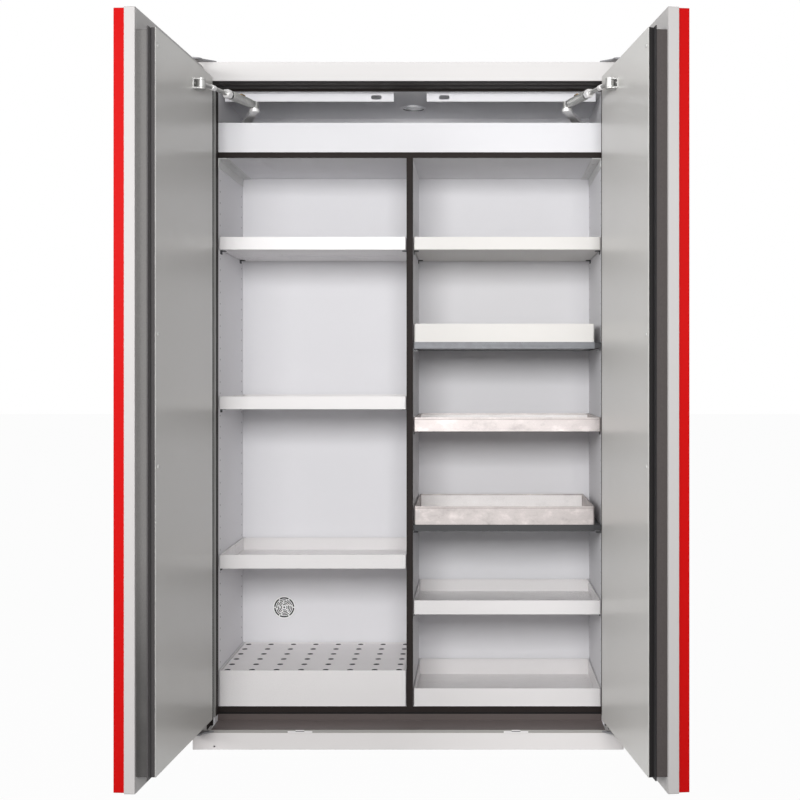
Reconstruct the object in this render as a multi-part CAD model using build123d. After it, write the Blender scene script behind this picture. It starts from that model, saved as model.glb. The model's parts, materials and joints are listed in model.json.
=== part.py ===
"""Fire-resistant safety cabinet with two wing doors, open as on display.

Millimetres.  X runs to the right, Y into the cabinet and Z up.  The origin is the middle of the body's
footprint on the floor.  Depths are counted from the body's front plane, see deep().  Each door is built
shut on the left, mirrored for the right, and then swung about its hinge line to the angle it stands at.
"""
import os
from math import atan2, cos, degrees, hypot, radians, sin

from build123d import *

# ---- body -------------------------------------------------------------------------------------------
BODY_WIDTH = 1193.0
BODY_HEIGHT = 1898.0
BODY_DEPTH = 565.0
CASING_SHEET = 1.5
SIDE_WALL = 52.5               # casing, fire board and lining together
SIDE_JAMB = 40.5               # width of each front flange
BACK_WALL = 64.0
LINING_BOARD = 10.0
SIDE_REBATE_DEPTH = 45.0       # the doors' inner leaves shut into this
PARTITION_FRONT = 100.0        # depth of the partitions' front edges

PLINTH_HEIGHT = 46.8
BASE_PAN_HEIGHT = 6.0
SILL_TOP = 55.0                # rebate floor
SILL_STEP = 19.0               # dark face behind the rebate floor
FLOOR_BOARD_BOTTOM = 78.0
FLOOR_BOARD = 16.0
HEAD_HEIGHT = 52.0             # front head of the body
CEILING_DROP = 6.0             # underside of the ceiling lining below the head's
CEILING_BOARD = 6.0
TECHNICAL_HEIGHT = 174.0       # clear height of the technical compartment
PARTITION_SHELF = 16.0
CENTRE_PARTITION = 18.4
EDGE_STRIP = 3.0               # dark strip on the front edge of each partition
SEAL_THICKNESS = 2.2
SIDE_SEAL = (8.0, 9.0)         # width and depth of the strip in each side rebate
WALL_STRIP = (1.0, 30.0)       # thickness and depth of the strip on each side lining

FOOT_RADIUS = 20.0
FOOT_HOLE_RADIUS = 22.0
FOOT_PAD = 6.0
FOOT_STEM_RADIUS = 6.0
FOOT_INSET = 60.0
KEY_HOLE = (62.0, 9.0)         # from the left and from the floor, for levelling the front foot
KEY_HOLE_RADIUS = 2.5

# ---- technical compartment above the storage space ---------------------------------------------------
FASCIA_LIFT = 2.0              # fascia above the partition shelf
FASCIA_HEIGHT = 81.5
FASCIA_RETURN = 18.0
PANEL_SHEET = 1.5
SIDE_PLAY = 1.0                # play of a loose insert against the side linings
RAIL_DEPTH = 130.0
RAIL_INNER_END = 47.0
RAIL_END_GAP = 14.0            # rail's outer end to the side lining
RAIL_DROP = 24.0
RAIL_FOOT = 25.0
RAIL_SLOT = (30.0, 12.0)
RAIL_SLOT_X = 97.0
EXHAUST_FROM_BACK = 231.0
EXHAUST_BORE_RADIUS = 24.0
EXHAUST_RING_RADIUS = 30.0
SPIGOT_RADIUS = 37.5
SPIGOT_WALL = 1.5
SPIGOT_HEIGHT = 50.0
SPIGOT_FLANGE_RADIUS = 48.0
SPIGOT_FLANGE = 3.0
SPIGOT_NECK = 2.0              # turned relief between the flange and the spigot
PIPE_RADIUS = 36.5             # pipe through the wall, and the relief
EXHAUST_RING = 3.0

# ---- shelves, trays and sumps -------------------------------------------------------------------------
SHELF_FRONT = 105.0
SHELF_BACK_GAP = 6.0
SHELF_SHEET = 1.5
RIM_HEM = 4.0                  # width of the folded rim
SHELF_GAP = 2.0                # shelf end to lining or partition
SHELF_HEIGHT = 36.0
TRAY_HEIGHT = 39.5
LEFT_SHELF_BOTTOMS = {"shelf_left_upper": 1390.5, "shelf_left_middle": 937.0, "tray_shelf_left": 484.3}
RIGHT_SHELF_BOTTOMS = {"shelf_right_upper": 1390.5, "tray_right_steel": 874.0, "tray_shelf_right": 354.3}
SUMP_HEIGHT_LEFT = 101.0
SUMP_HEIGHT_RIGHT = 50.0
INSERT_PLAY = 1.5
INSERT_DROP = 2.5              # top of the perforated insert below the sump's rim
INSERT_HOLE_RADIUS = 6.5
INSERT_HOLE_PITCH = 70.0
CLIP_SIZE = (14.0, 22.0, 10.0)
CLIP_INSET = 40.0
CLIP_SHEET = 2.0

GRILLE_FROM_SIDE = 130.0
GRILLE_Z = 304.0
GRILLE_RADIUS = 35.0
GRILLE_PLATE = 3.0
GRILLE_RINGS = ((29.4, 4.2, 6), (23.6, 2.8, 6), (18.6, 2.8, 5), (13.6, 2.8, 5), (8.6, 2.8, 4))
GRILLE_WEB = 3.6               # metal left between two slots of a ring
GRILLE_TWIST = 11.0            # turn of each ring's webs against the next, in degrees
GRILLE_HUB_HOLE = 5.0          # side of the square hole in the hub
DUCT_HOLE_RADIUS = 31.0

CORNER_RAIL = 26.0
CORNER_RAIL_SHEET = 2.0
CORNER_RAIL_HOLE_RADIUS = 4.0
CORNER_RAIL_HOLES = 6

# ---- pull-out drawers ----------------------------------------------------------------------------------
DRAWER_DOOR_GAP = 18.5         # drawer's side to the side lining, to pass the open right door
DRAWER_LEFT_X = 12.5
DRAWER_FRONT = 108.0
DRAWER_BACK_GAP = 8.0
CARRIER_HEIGHT = 19.0
DRAWER_TRAY_HEIGHT = 52.0
DRAWER_TRAY_INSET = 1.0
DRAWER_CARRIER_BOTTOMS = {"upper": 1109.0, "lower": 590.0}
DRAWER_KEPT = 45.0             # length of a drawer still inside when it is pulled out
RUNNER_HEIGHT = 16.0
RUNNER_LIFT = 1.5              # runner's underside above the carrier's
RUNNER_WIDTH = 12.5
RUNNER_SHEET = 1.5
RUNNER_PLAY = 0.3
RUNNER_LIP = 2.5
RUNNER_SETBACK = 2.0           # runner's front end behind the carrier's front lip
RUNNER_SHORTER = 5.0           # than its drawer

# ---- doors -----------------------------------------------------------------------------------------------
DOOR_GAP = 4.0                 # body front to the outer leaf
DOOR_MEETING_GAP = 3.0         # between the two leaves when shut
DOOR_BOTTOM = 73.5
DOOR_TOP_SETBACK = 18.0        # below the body's top
SKIN_DEPTH = 25.0
FRAME_DEPTH = 25.0
DOOR_SHEET = 1.5
LEAF_CORNER = 2.5
STEP_CORNER = 3.0
INNER_BOARD_INSET = 1.0        # inner board's ends inside its panel's
BUSH_HOLE_PLAY = 1.0           # hole in the sheet round a bush's flange
SKIN_REVEAL = 2.0              # the skin is this much smaller all round than the frame
HINGE_SETBACK = 11.0           # hinge line from the leaf's edge
HINGE_FORWARD = 28.0           # hinge line in front of the body's front plane
STEP_DEPTH = 25.0
FIN_THICKNESS = 3.0
INNER_DEPTH = 10.0             # inner board and its panel together
INNER_PANEL_SHEET = 1.5
STEP_SETBACK = 10.0            # from the leaf's free edge
INNER_SETBACK = 35.0
INNER_HINGE_SETBACK = 48.5     # inner leaf from the leaf's hinge edge
STEP_BOTTOM = 110.0
STEP_TOP_SETBACK = 50.0        # below the leaf's top
INNER_BOTTOM = 102.0
INNER_TOP_SETBACK = 39.0
FIN_OVERHANG = 8.0             # beyond the step at the free edge side
OPEN_ANGLE_LEFT = 93.3
OPEN_ANGLE_RIGHT = 96.5
MARGIN_SLOT = (3.0, 14.0)
MARGIN_SLOT_INSET = (5.0, 14.0)
PLUG_RADIUS = 5.0
PLUG_PROUD = 2.0
LOW_PLUG_HEIGHTS = (821.0, 1130.0)
TOP_PLUG_SETBACK = 39.0        # below the inner leaf's top
PLUG_FROM_EDGE = 20.0

HINGE_PIN_RADIUS = 5.0
HINGE_PLATE = 4.0
HINGE_PLATE_WIDTH = 34.0
HINGE_PLATE_BACK = 70.0
HINGE_PLATE_NOSE = 12.0
HINGE_PLATE_REACH = 66.0       # along the body's front
BUSH_RADIUS = 9.0
BUSH_FLANGE_RADIUS = 11.0
BUSH_FLANGE = 1.5
BUSH_LENGTH = 20.0
PIN_SHORTER = 3.0              # hinge pins end this far inside the bushes
COLLAR_GAP = 1.0               # between the lower bush's flange and the collar under it
RUNNING_CLEARANCE = 0.05

# ---- door closers -------------------------------------------------------------------------------------------
CLOSER_DROP = 67.0             # top of the main arm below the ceiling
ARM_THICKNESS = 8.0
ELBOW_RADIUS = 14.0
ARM_WAIST = 0.75               # arm's half width at its ends, as a share of the round ends
SPINDLE_BOSS_RADIUS = 18.0
SPINDLE_RADIUS = 7.0
SPINDLE_LENGTH = 30.0
ELBOW_PIN_RADIUS = 4.0
FOREARM_LENGTH = 288.0
FOREARM_ANGLE = 18.4           # from the depth direction, the same at every door angle
FOREARM_ROD_RADIUS = 5.5
FOREARM_SLEEVE_RADIUS = 10.5
FOREARM_SLEEVE_LENGTH = 112.0
FOREARM_NUT_RADIUS = 12.5
FOREARM_NUT_LENGTH = 16.0
EYE_RADIUS = 12.0
EYE_HEIGHT = 18.0
EYE_OVERLAP = 2.0              # sleeve and rod run this far into the eyes' rings
SLEEVE_LIFT = 0.5              # sleeve's underside above the eye's
PIN_PROUD = 3.0                # pivot pins above the eyes
LAYER_GAP = 0.5
BRACKET_ALONG = 216.0          # door bracket's pivot from the hinge line, along the leaf
BRACKET_STANDOFF = 17.0        # and from the inner panel's face
BRACKET_PLATE = (32.0, 2.5)
BRACKET_EAR = 4.0              # thickness of the ears above and below the forearm's eye
BRACKET_PIN_RADIUS = 4.0
OPEN_PIVOT_CLEARANCE = 0.3
CLOSER_HOUSING = (48.0, 170.0)
CLOSER_HOUSING_CORNER = 8.0
CLOSER_HOUSING_DROP = 6.0      # housing's top below the main arm

# ---- handle in the right door ----------------------------------------------------------------------------------
HANDLE_HEIGHT = 1050.0
HANDLE_FROM_EDGE = 60.0
CUP_SIZE = (70.0, 190.0)
CUP_DEPTH = 24.0
CUP_FLANGE = 8.0
CUP_SHEET = 2.0
CUP_CORNER = 12.0
CUP_MOUTH = 2.0                # hollow cut this far out of the skin
LEVER_SIZE = (46.0, 88.0, 7.0)
LEVER_RECESS = 3.0
LEVER_RISE = 8.0               # size above the pivot
LEVER_GRIP = (30.0, 2.0)       # height of the thinned grip, and by how much it is thinner
LEVER_BARREL_WALL = 3.0
LEVER_PIN_GAP = 0.3            # cross pin's ends from the cup's walls
LEVER_PIVOT_MARGIN = 20.0      # lever's pivot from the cup's upper end
LEVER_SWING = 30.0
LEVER_PIN_RADIUS = 3.0
LOCK_RADIUS = 13.0
LOCK_LENGTH = 16.0
LOCK_SLOT = (2.0, 9.0)
LOCK_MARGIN = 7.0              # lock's rim from the cup's lower end
LOCK_SETBACK = 1.0             # lock's face behind the skin
LOCK_SLOT_DEPTH = 3.0
LOCK_HOLE_SPARE = 10.0
LOCK_BOSS = 4.0                # boss round the lock, and its face below the cup's mouth
LOCK_BOSS_DEPTH = 1.0

# ---- worked out from the sizes above -----------------------------------------------------------------------------
INTERIOR_WIDTH = BODY_WIDTH - 2 * SIDE_WALL
REBATE_WIDTH = BODY_WIDTH - 2 * SIDE_JAMB
INTERIOR_DEPTH = BODY_DEPTH - BACK_WALL
SOFFIT_BOTTOM = BODY_HEIGHT - HEAD_HEIGHT
CEILING_BOTTOM = SOFFIT_BOTTOM - CEILING_DROP
PARTITION_SHELF_TOP = CEILING_BOTTOM - TECHNICAL_HEIGHT
FASCIA_BOTTOM = PARTITION_SHELF_TOP + FASCIA_LIFT
FASCIA_TOP = FASCIA_BOTTOM + FASCIA_HEIGHT
RAIL_OUTER_END = INTERIOR_WIDTH / 2 - RAIL_END_GAP
EXHAUST_DEPTH = BODY_DEPTH - EXHAUST_FROM_BACK
SPIGOT_BOTTOM = BODY_HEIGHT + SPIGOT_FLANGE + SPIGOT_NECK
SPIGOT_TOP = SPIGOT_BOTTOM + SPIGOT_HEIGHT
SHELF_DEPTH = INTERIOR_DEPTH - SHELF_FRONT - SHELF_BACK_GAP
GRILLE_X = GRILLE_FROM_SIDE - INTERIOR_WIDTH / 2
DRAWER_RIGHT_X = INTERIOR_WIDTH / 2 - DRAWER_DOOR_GAP
DRAWER_DEPTH = INTERIOR_DEPTH - DRAWER_FRONT - DRAWER_BACK_GAP
DRAWER_TRAVEL = DRAWER_DEPTH - DRAWER_KEPT
RUNNER_LENGTH = DRAWER_DEPTH - RUNNER_SHORTER
DOOR_TOP = BODY_HEIGHT - DOOR_TOP_SETBACK
STEP_TOP = DOOR_TOP - STEP_TOP_SETBACK
INNER_TOP = DOOR_TOP - INNER_TOP_SETBACK
PLUG_HEIGHTS = LOW_PLUG_HEIGHTS + (INNER_TOP - TOP_PLUG_SETBACK,)
CLOSER_LEVEL = CEILING_BOTTOM - CLOSER_DROP
HALF_WIDTH = BODY_WIDTH / 2
HALF_INTERIOR = INTERIOR_WIDTH / 2
HALF_REBATE = REBATE_WIDTH / 2
HALF_CENTRE = CENTRE_PARTITION / 2
BASE_TOP = PLINTH_HEIGHT + BASE_PAN_HEIGHT
FLOOR_TOP = FLOOR_BOARD_BOTTOM + FLOOR_BOARD
PARTITION_SHELF_BOTTOM = PARTITION_SHELF_TOP - PARTITION_SHELF
HINGE_X = HALF_WIDTH - HINGE_SETBACK
LEAF_INNER = -DOOR_GAP                              # depths of the shut door's layers
LEAF_OUTER = LEAF_INNER - FRAME_DEPTH - SKIN_DEPTH
STEP_INNER = LEAF_INNER + STEP_DEPTH
FIN_INNER = STEP_INNER + FIN_THICKNESS
PANEL_FACE = FIN_INNER + INNER_DEPTH
LEAF_HINGE_EDGE = -HALF_WIDTH                       # the shut left leaf, across
LEAF_FREE_EDGE = -DOOR_MEETING_GAP / 2
LEFT_BAY = (-HALF_INTERIOR + SHELF_GAP, -HALF_CENTRE - SHELF_GAP)
RIGHT_BAY = (HALF_CENTRE + SHELF_GAP, HALF_INTERIOR - SHELF_GAP)
SHELF_SPAN = (SHELF_FRONT, SHELF_FRONT + SHELF_DEPTH)
HANDLE_X = LEAF_FREE_EDGE - HANDLE_FROM_EDGE
LEVER_BARREL_RADIUS = LEVER_SIZE[2] / 2 + LEVER_BARREL_WALL
LEVER_PIVOT_Z = HANDLE_HEIGHT + CUP_SIZE[1] / 2 - LEVER_PIVOT_MARGIN
LEVER_PIVOT_DEPTH = LEAF_OUTER + LEVER_RECESS + LEVER_BARREL_RADIUS
LEVER_BOTTOM = LEVER_PIVOT_Z + LEVER_RISE - LEVER_SIZE[1]
INNER_HINGE_EDGE = LEAF_HINGE_EDGE + INNER_HINGE_SETBACK
INNER_FREE_EDGE = LEAF_FREE_EDGE - INNER_SETBACK
FOREARM_BOTTOM = CLOSER_LEVEL + LAYER_GAP
FOREARM_AXIS = FOREARM_BOTTOM + SLEEVE_LIFT + FOREARM_SLEEVE_RADIUS
BRACKET_SHUT = (-HINGE_X + BRACKET_ALONG, PANEL_FACE + BRACKET_STANDOFF)
FOREARM_VECTOR = (FOREARM_LENGTH * sin(radians(FOREARM_ANGLE)), FOREARM_LENGTH * cos(radians(FOREARM_ANGLE)))
SPINDLE = (-HINGE_X + FOREARM_VECTOR[0], -HINGE_FORWARD + FOREARM_VECTOR[1])
ARM_LENGTH = hypot(BRACKET_ALONG, PANEL_FACE + BRACKET_STANDOFF + HINGE_FORWARD)


def deep(depth: float) -> float:
    """Y of a depth counted from the body's front plane."""
    return depth - BODY_DEPTH / 2


def block(x: tuple, depth: tuple, z: tuple) -> Part:
    """A plain board between two X values, two depths and two heights."""
    size = (x[1] - x[0], depth[1] - depth[0], z[1] - z[0])
    centre = ((x[0] + x[1]) / 2, deep((depth[0] + depth[1]) / 2), (z[0] + z[1]) / 2)
    return Pos(*centre) * Box(*size)


def cylinder_along(radius: float, start: tuple, end: tuple) -> Part:
    """A round bar between two points."""
    a, b = Vector(*start), Vector(*end)
    return Plane(origin=a, z_dir=(b - a)) * Cylinder(
        radius, (b - a).length, align=(Align.CENTER, Align.CENTER, Align.MIN))


def folded(points: list, sheet: float) -> Face:
    """Cross-section of folded sheet: the path through the points, with the metal on its left side."""
    line = [Vector(*p) for p in points]
    turns = []
    for i, p in enumerate(line):
        before = (p - line[i - 1]).normalized() if i else None
        after = (line[i + 1] - p).normalized() if i < len(line) - 1 else None
        before, after = before or after, after or before
        normal = Vector(-before.Y - after.Y, before.X + after.X)
        turns.append(p + normal * (2 * sheet / normal.dot(normal)))
    outline = [(v.X, v.Y) for v in line + turns[::-1]]
    return make_face(Polyline(*outline, close=True))


def across(profile: Face, x: tuple) -> Part:
    """A (depth, height) cross-section drawn out along X."""
    plane = Plane(origin=(x[0], deep(0), 0), x_dir=(0, 1, 0), z_dir=(1, 0, 0))
    return extrude(plane * profile, x[1] - x[0])


def upright(profile: Face, z: tuple) -> Part:
    """An (X, depth) cross-section drawn out upwards."""
    return extrude(Pos(0, deep(0), z[0]) * profile, z[1] - z[0])


def along_depth(profile: Face, depth: tuple) -> Part:
    """An (X, height) cross-section drawn out into the cabinet."""
    plane = Plane(origin=(0, deep(depth[0]), 0), x_dir=(1, 0, 0), z_dir=(0, -1, 0))
    return extrude(plane * profile, depth[0] - depth[1])


def pan(x: tuple, depth: tuple, z: tuple, sheet: float, corner: float = 4.0) -> Part:
    """An open-topped sheet tray with rounded upright corners."""
    outer = block(x, depth, z)
    outer = fillet(outer.edges().filter_by(Axis.Z), corner)
    inner = block((x[0] + sheet, x[1] - sheet), (depth[0] + sheet, depth[1] - sheet), (z[0] + sheet, z[1] + sheet))
    return outer - fillet(inner.edges().filter_by(Axis.Z), corner - sheet)


def hemmed_pan(x: tuple, depth: tuple, z: tuple) -> Part:
    """A shelf tray: a sheet pan whose rim is folded over to a narrow flat hem."""
    body = pan(x, depth, z, SHELF_SHEET)
    rim = pan(x, depth, (z[1] - 2 * RIM_HEM, z[1]), RIM_HEM, RIM_HEM + SHELF_SHEET)
    return body + (rim & block(x, depth, (z[1] - RIM_HEM, z[1])))


def mirrored(shape):
    """The same piece on the other side of the cabinet's middle."""
    return mirror(shape, about=Plane.YZ)


def pair(shape) -> list:
    """A piece and its mirror image."""
    return [shape, mirrored(shape)]


# ---- body ---------------------------------------------------------------------------------------------------
def casing_sides() -> list:
    """Outer steel sides, folded round the front edge and into the rebate."""
    flange = [(-HALF_REBATE, SIDE_REBATE_DEPTH), (-HALF_REBATE, 0), (-HALF_WIDTH, 0),
              (-HALF_WIDTH, BODY_DEPTH - CASING_SHEET)]
    side = upright(folded(flange[::-1], CASING_SHEET), (BASE_TOP, SOFFIT_BOTTOM))
    return pair(side)


def casing_top() -> Part:
    """Top sheet with the front head folded down and back under it."""
    path = [(SIDE_REBATE_DEPTH, SOFFIT_BOTTOM), (0, SOFFIT_BOTTOM), (0, BODY_HEIGHT),
            (BODY_DEPTH - CASING_SHEET, BODY_HEIGHT)]
    top = across(folded(path[::-1], CASING_SHEET), (-HALF_WIDTH, HALF_WIDTH))
    end = block((-HALF_WIDTH, -HALF_WIDTH + CASING_SHEET), (0, BODY_DEPTH - CASING_SHEET),
                (SOFFIT_BOTTOM, BODY_HEIGHT))
    top += pair(end)
    return top - Pos(0, deep(EXHAUST_DEPTH), BODY_HEIGHT) * Cylinder(PIPE_RADIUS, 4 * CASING_SHEET)


def casing_back() -> Part:
    """Back sheet."""
    return block((-HALF_WIDTH, HALF_WIDTH), (BODY_DEPTH - CASING_SHEET, BODY_DEPTH), (BASE_TOP, BODY_HEIGHT))


def foot_places() -> list:
    """Centres of the four levelling feet."""
    x = HALF_WIDTH - FOOT_INSET
    return [(sx * x, deep(y)) for sx in (-1, 1) for y in (FOOT_INSET, BODY_DEPTH - FOOT_INSET)]


def base_pan() -> Part:
    """Sheet pan that the body stands on, its lip showing above the plinth."""
    upside_down = pan((-HALF_WIDTH, HALF_WIDTH), (0, BODY_DEPTH), (-BASE_TOP, -PLINTH_HEIGHT), CASING_SHEET)
    return mirror(upside_down, about=Plane.XY)


def plinth() -> Part:
    """Folded plinth box with a flat underside, open for the levelling feet."""
    box = pan((-HALF_WIDTH + 1, HALF_WIDTH - 1), (1, BODY_DEPTH - 1), (0, PLINTH_HEIGHT), CASING_SHEET)
    for x, y in foot_places():
        box -= Pos(x, y, 0) * Cylinder(FOOT_HOLE_RADIUS, 4 * CASING_SHEET)
    x, z = KEY_HOLE
    key_hole = cylinder_along(KEY_HOLE_RADIUS, (-HALF_WIDTH + x, deep(0), z), (-HALF_WIDTH + x, deep(FOOT_RADIUS), z))
    return box - key_hole


def levelling_feet() -> list:
    """Feet wound in level with the plinth's underside."""
    foot = Cylinder(FOOT_RADIUS, FOOT_PAD, align=(Align.CENTER, Align.CENTER, Align.MIN))
    stem = Cylinder(FOOT_STEM_RADIUS, BASE_TOP - CASING_SHEET, align=(Align.CENTER, Align.CENTER, Align.MIN))
    return [Pos(x, y, 0) * (foot + stem) for x, y in foot_places()]


def insulation_boards() -> list:
    """Fire boards between the casing and the linings."""
    outer = HALF_WIDTH - CASING_SHEET
    lining = HALF_INTERIOR + LINING_BOARD
    back = BODY_DEPTH - CASING_SHEET
    side = block((-outer, -HALF_REBATE - CASING_SHEET), (CASING_SHEET, back), (BASE_TOP, SOFFIT_BOTTOM))
    side += block((-HALF_REBATE - CASING_SHEET, -lining),
                  (SIDE_REBATE_DEPTH + SIDE_SEAL[1], INTERIOR_DEPTH + LINING_BOARD),
                  (BASE_TOP, CEILING_BOTTOM))
    ceiling_top = CEILING_BOTTOM + CEILING_BOARD
    top = block((-outer, outer), (CASING_SHEET, back), (SOFFIT_BOTTOM + CASING_SHEET, BODY_HEIGHT - CASING_SHEET))
    top += block((-HALF_REBATE, HALF_REBATE), (SIDE_REBATE_DEPTH, INTERIOR_DEPTH + LINING_BOARD),
                 (ceiling_top, SOFFIT_BOTTOM + CASING_SHEET))
    top -= Pos(0, deep(EXHAUST_DEPTH), ceiling_top) * Cylinder(PIPE_RADIUS, BODY_HEIGHT)
    floor = block((-HALF_INTERIOR, HALF_INTERIOR), (PARTITION_FRONT + SEAL_THICKNESS, INTERIOR_DEPTH),
                  (BASE_TOP, FLOOR_BOARD_BOTTOM))
    rear = block((-lining, lining), (INTERIOR_DEPTH + LINING_BOARD, back), (BASE_TOP, SOFFIT_BOTTOM))
    duct = (GRILLE_X, deep(INTERIOR_DEPTH), GRILLE_Z)
    rear -= cylinder_along(DUCT_HOLE_RADIUS, duct, (GRILLE_X, deep(BODY_DEPTH - CASING_SHEET), GRILLE_Z))
    return pair(side) + [top, floor, rear]


def lining_panels() -> list:
    """Side and back linings of the interior."""
    side = block((-HALF_INTERIOR - LINING_BOARD, -HALF_INTERIOR),
                 (SIDE_REBATE_DEPTH + SIDE_SEAL[1], INTERIOR_DEPTH + LINING_BOARD), (BASE_TOP, CEILING_BOTTOM))
    back = block((-HALF_INTERIOR, HALF_INTERIOR), (INTERIOR_DEPTH, INTERIOR_DEPTH + LINING_BOARD),
                 (BASE_TOP, CEILING_BOTTOM))
    hole = cylinder_along(DUCT_HOLE_RADIUS, (GRILLE_X, deep(INTERIOR_DEPTH - 1), GRILLE_Z),
                          (GRILLE_X, deep(INTERIOR_DEPTH + LINING_BOARD + 1), GRILLE_Z))
    return pair(side) + [back - hole]


def ceiling_lining() -> Part:
    """Ceiling of the technical compartment."""
    board = block((-HALF_REBATE, HALF_REBATE), (PARTITION_FRONT, INTERIOR_DEPTH + LINING_BOARD),
                  (CEILING_BOTTOM, CEILING_BOTTOM + CEILING_BOARD))
    return board - Pos(0, deep(EXHAUST_DEPTH), CEILING_BOTTOM) * Cylinder(PIPE_RADIUS, 4 * CEILING_BOARD)


def opening_seal() -> list:
    """Dark expanding seal round the door rebate: sill, head and the two sides."""
    sill = [(0, BASE_TOP), (PARTITION_FRONT, BASE_TOP), (PARTITION_FRONT, SILL_TOP + SILL_STEP)]
    head = [(PARTITION_FRONT, CEILING_BOTTOM - SEAL_THICKNESS), (PARTITION_FRONT, SOFFIT_BOTTOM),
            (SEAL_THICKNESS, SOFFIT_BOTTOM)]
    width = (-HALF_INTERIOR, HALF_INTERIOR)
    strip_x = (-HALF_REBATE, -HALF_REBATE + SIDE_SEAL[0])
    strip = block(strip_x, (SIDE_REBATE_DEPTH, SIDE_REBATE_DEPTH + SIDE_SEAL[1]), (SILL_TOP, SOFFIT_BOTTOM))
    strip += block((-HALF_REBATE, -HALF_REBATE + SEAL_THICKNESS), (SEAL_THICKNESS, SIDE_REBATE_DEPTH),
                   (SILL_TOP, SOFFIT_BOTTOM))
    thick, deep_by = WALL_STRIP
    wall = block((-HALF_INTERIOR, -HALF_INTERIOR + thick), (PARTITION_FRONT - deep_by, PARTITION_FRONT),
                 (SILL_TOP + SILL_STEP, CEILING_BOTTOM - SEAL_THICKNESS))
    floor_and_head = [across(folded(sill, SEAL_THICKNESS), width), across(folded(head, SEAL_THICKNESS), width)]
    return floor_and_head + pair(strip) + pair(wall)


def interior_boards() -> list:
    """Floor of the storage space, the board above it and the upright board between its columns."""
    depth = (PARTITION_FRONT + EDGE_STRIP, INTERIOR_DEPTH)
    wide = (-HALF_INTERIOR, HALF_INTERIOR)
    return [block(wide, depth, (FLOOR_BOARD_BOTTOM, FLOOR_TOP)),
            block(wide, depth, (PARTITION_SHELF_BOTTOM, PARTITION_SHELF_TOP)),
            block((-HALF_CENTRE, HALF_CENTRE), depth, (FLOOR_TOP, PARTITION_SHELF_BOTTOM))]


def edge_strips() -> list:
    """Dark strips on the front edges of the floor board and both partitions."""
    depth = (PARTITION_FRONT, PARTITION_FRONT + EDGE_STRIP)
    wide = (-HALF_INTERIOR, HALF_INTERIOR)
    return [block(wide, depth, (FLOOR_BOARD_BOTTOM, FLOOR_TOP)),
            block(wide, depth, (PARTITION_SHELF_BOTTOM, PARTITION_SHELF_TOP)),
            block((-HALF_CENTRE, HALF_CENTRE), depth, (FLOOR_TOP, PARTITION_SHELF_BOTTOM))]


# ---- technical compartment -------------------------------------------------------------------------------------
def fascia() -> Part:
    """Folded front panel of the technical compartment, standing on the partition."""
    path = [(PARTITION_FRONT + FASCIA_RETURN, PARTITION_SHELF_TOP), (PARTITION_FRONT, PARTITION_SHELF_TOP),
            (PARTITION_FRONT, FASCIA_TOP), (PARTITION_FRONT + FASCIA_RETURN, FASCIA_TOP)]
    width = HALF_INTERIOR - SIDE_PLAY
    return across(folded(path[::-1], PANEL_SHEET), (-width, width))


def closer_rails() -> list:
    """Angle rails under the ceiling, one over each doorway, with an oblong hole near the middle."""
    path = [(RAIL_DEPTH, CEILING_BOTTOM - RAIL_DROP), (RAIL_DEPTH, CEILING_BOTTOM),
            (RAIL_DEPTH + RAIL_FOOT, CEILING_BOTTOM)]
    rail = across(folded(path[::-1], PANEL_SHEET), (-RAIL_OUTER_END, -RAIL_INNER_END))
    slot = Plane.XZ * SlotOverall(*RAIL_SLOT)
    cut = Pos(-RAIL_SLOT_X, deep(RAIL_DEPTH), CEILING_BOTTOM - RAIL_DROP / 2) * extrude(slot, RAIL_FOOT, both=True)
    return pair(rail - cut)


def exhaust_collar() -> Part:
    """Turned exhaust connector: ring under the ceiling, pipe through the wall, spigot on top."""
    low, sheet = CEILING_BOTTOM, SPIGOT_WALL
    bore, ring, pipe = EXHAUST_BORE_RADIUS, EXHAUST_RING_RADIUS, PIPE_RADIUS
    flange, roof = SPIGOT_FLANGE_RADIUS, BODY_HEIGHT
    outline = [(bore, low - EXHAUST_RING), (ring, low - EXHAUST_RING), (pipe + EXHAUST_RING, low), (pipe, low),
               (pipe, roof), (flange, roof), (flange, roof + SPIGOT_FLANGE), (pipe, roof + SPIGOT_FLANGE),
               (pipe, SPIGOT_BOTTOM), (SPIGOT_RADIUS, SPIGOT_BOTTOM), (SPIGOT_RADIUS, SPIGOT_TOP),
               (pipe - sheet, SPIGOT_TOP), (pipe - sheet, low + sheet), (bore, low + sheet)]
    profile = Plane.XZ * make_face(Polyline(*outline, close=True))
    return Pos(0, deep(EXHAUST_DEPTH), 0) * revolve(profile, Axis.Z)


def closer_housings() -> list:
    """Closer bodies on the board of the technical compartment, bored for the arms' spindles."""
    width, length = CLOSER_HOUSING
    top = CLOSER_LEVEL - ARM_THICKNESS - CLOSER_HOUSING_DROP
    x, depth = SPINDLE
    profile = RectangleRounded(width, length, CLOSER_HOUSING_CORNER)
    body = Pos(x, deep(depth) + length / 4, PARTITION_SHELF_TOP) * extrude(profile, top - PARTITION_SHELF_TOP)
    body = chamfer(body.edges().group_by(Axis.Z)[-1], CLOSER_HOUSING_CORNER / 4)
    bore = Pos(x, deep(depth), top) * Cylinder(SPINDLE_RADIUS + RUNNING_CLEARANCE, 2 * SPINDLE_LENGTH)
    return pair(body - bore)


# ---- shelves, trays and sumps ----------------------------------------------------------------------------------------
def shelf(bay: tuple, bottom: float, height: float) -> Part:
    """One hemmed shelf tray in a bay."""
    return hemmed_pan(bay, SHELF_SPAN, (bottom, bottom + height))


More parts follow.
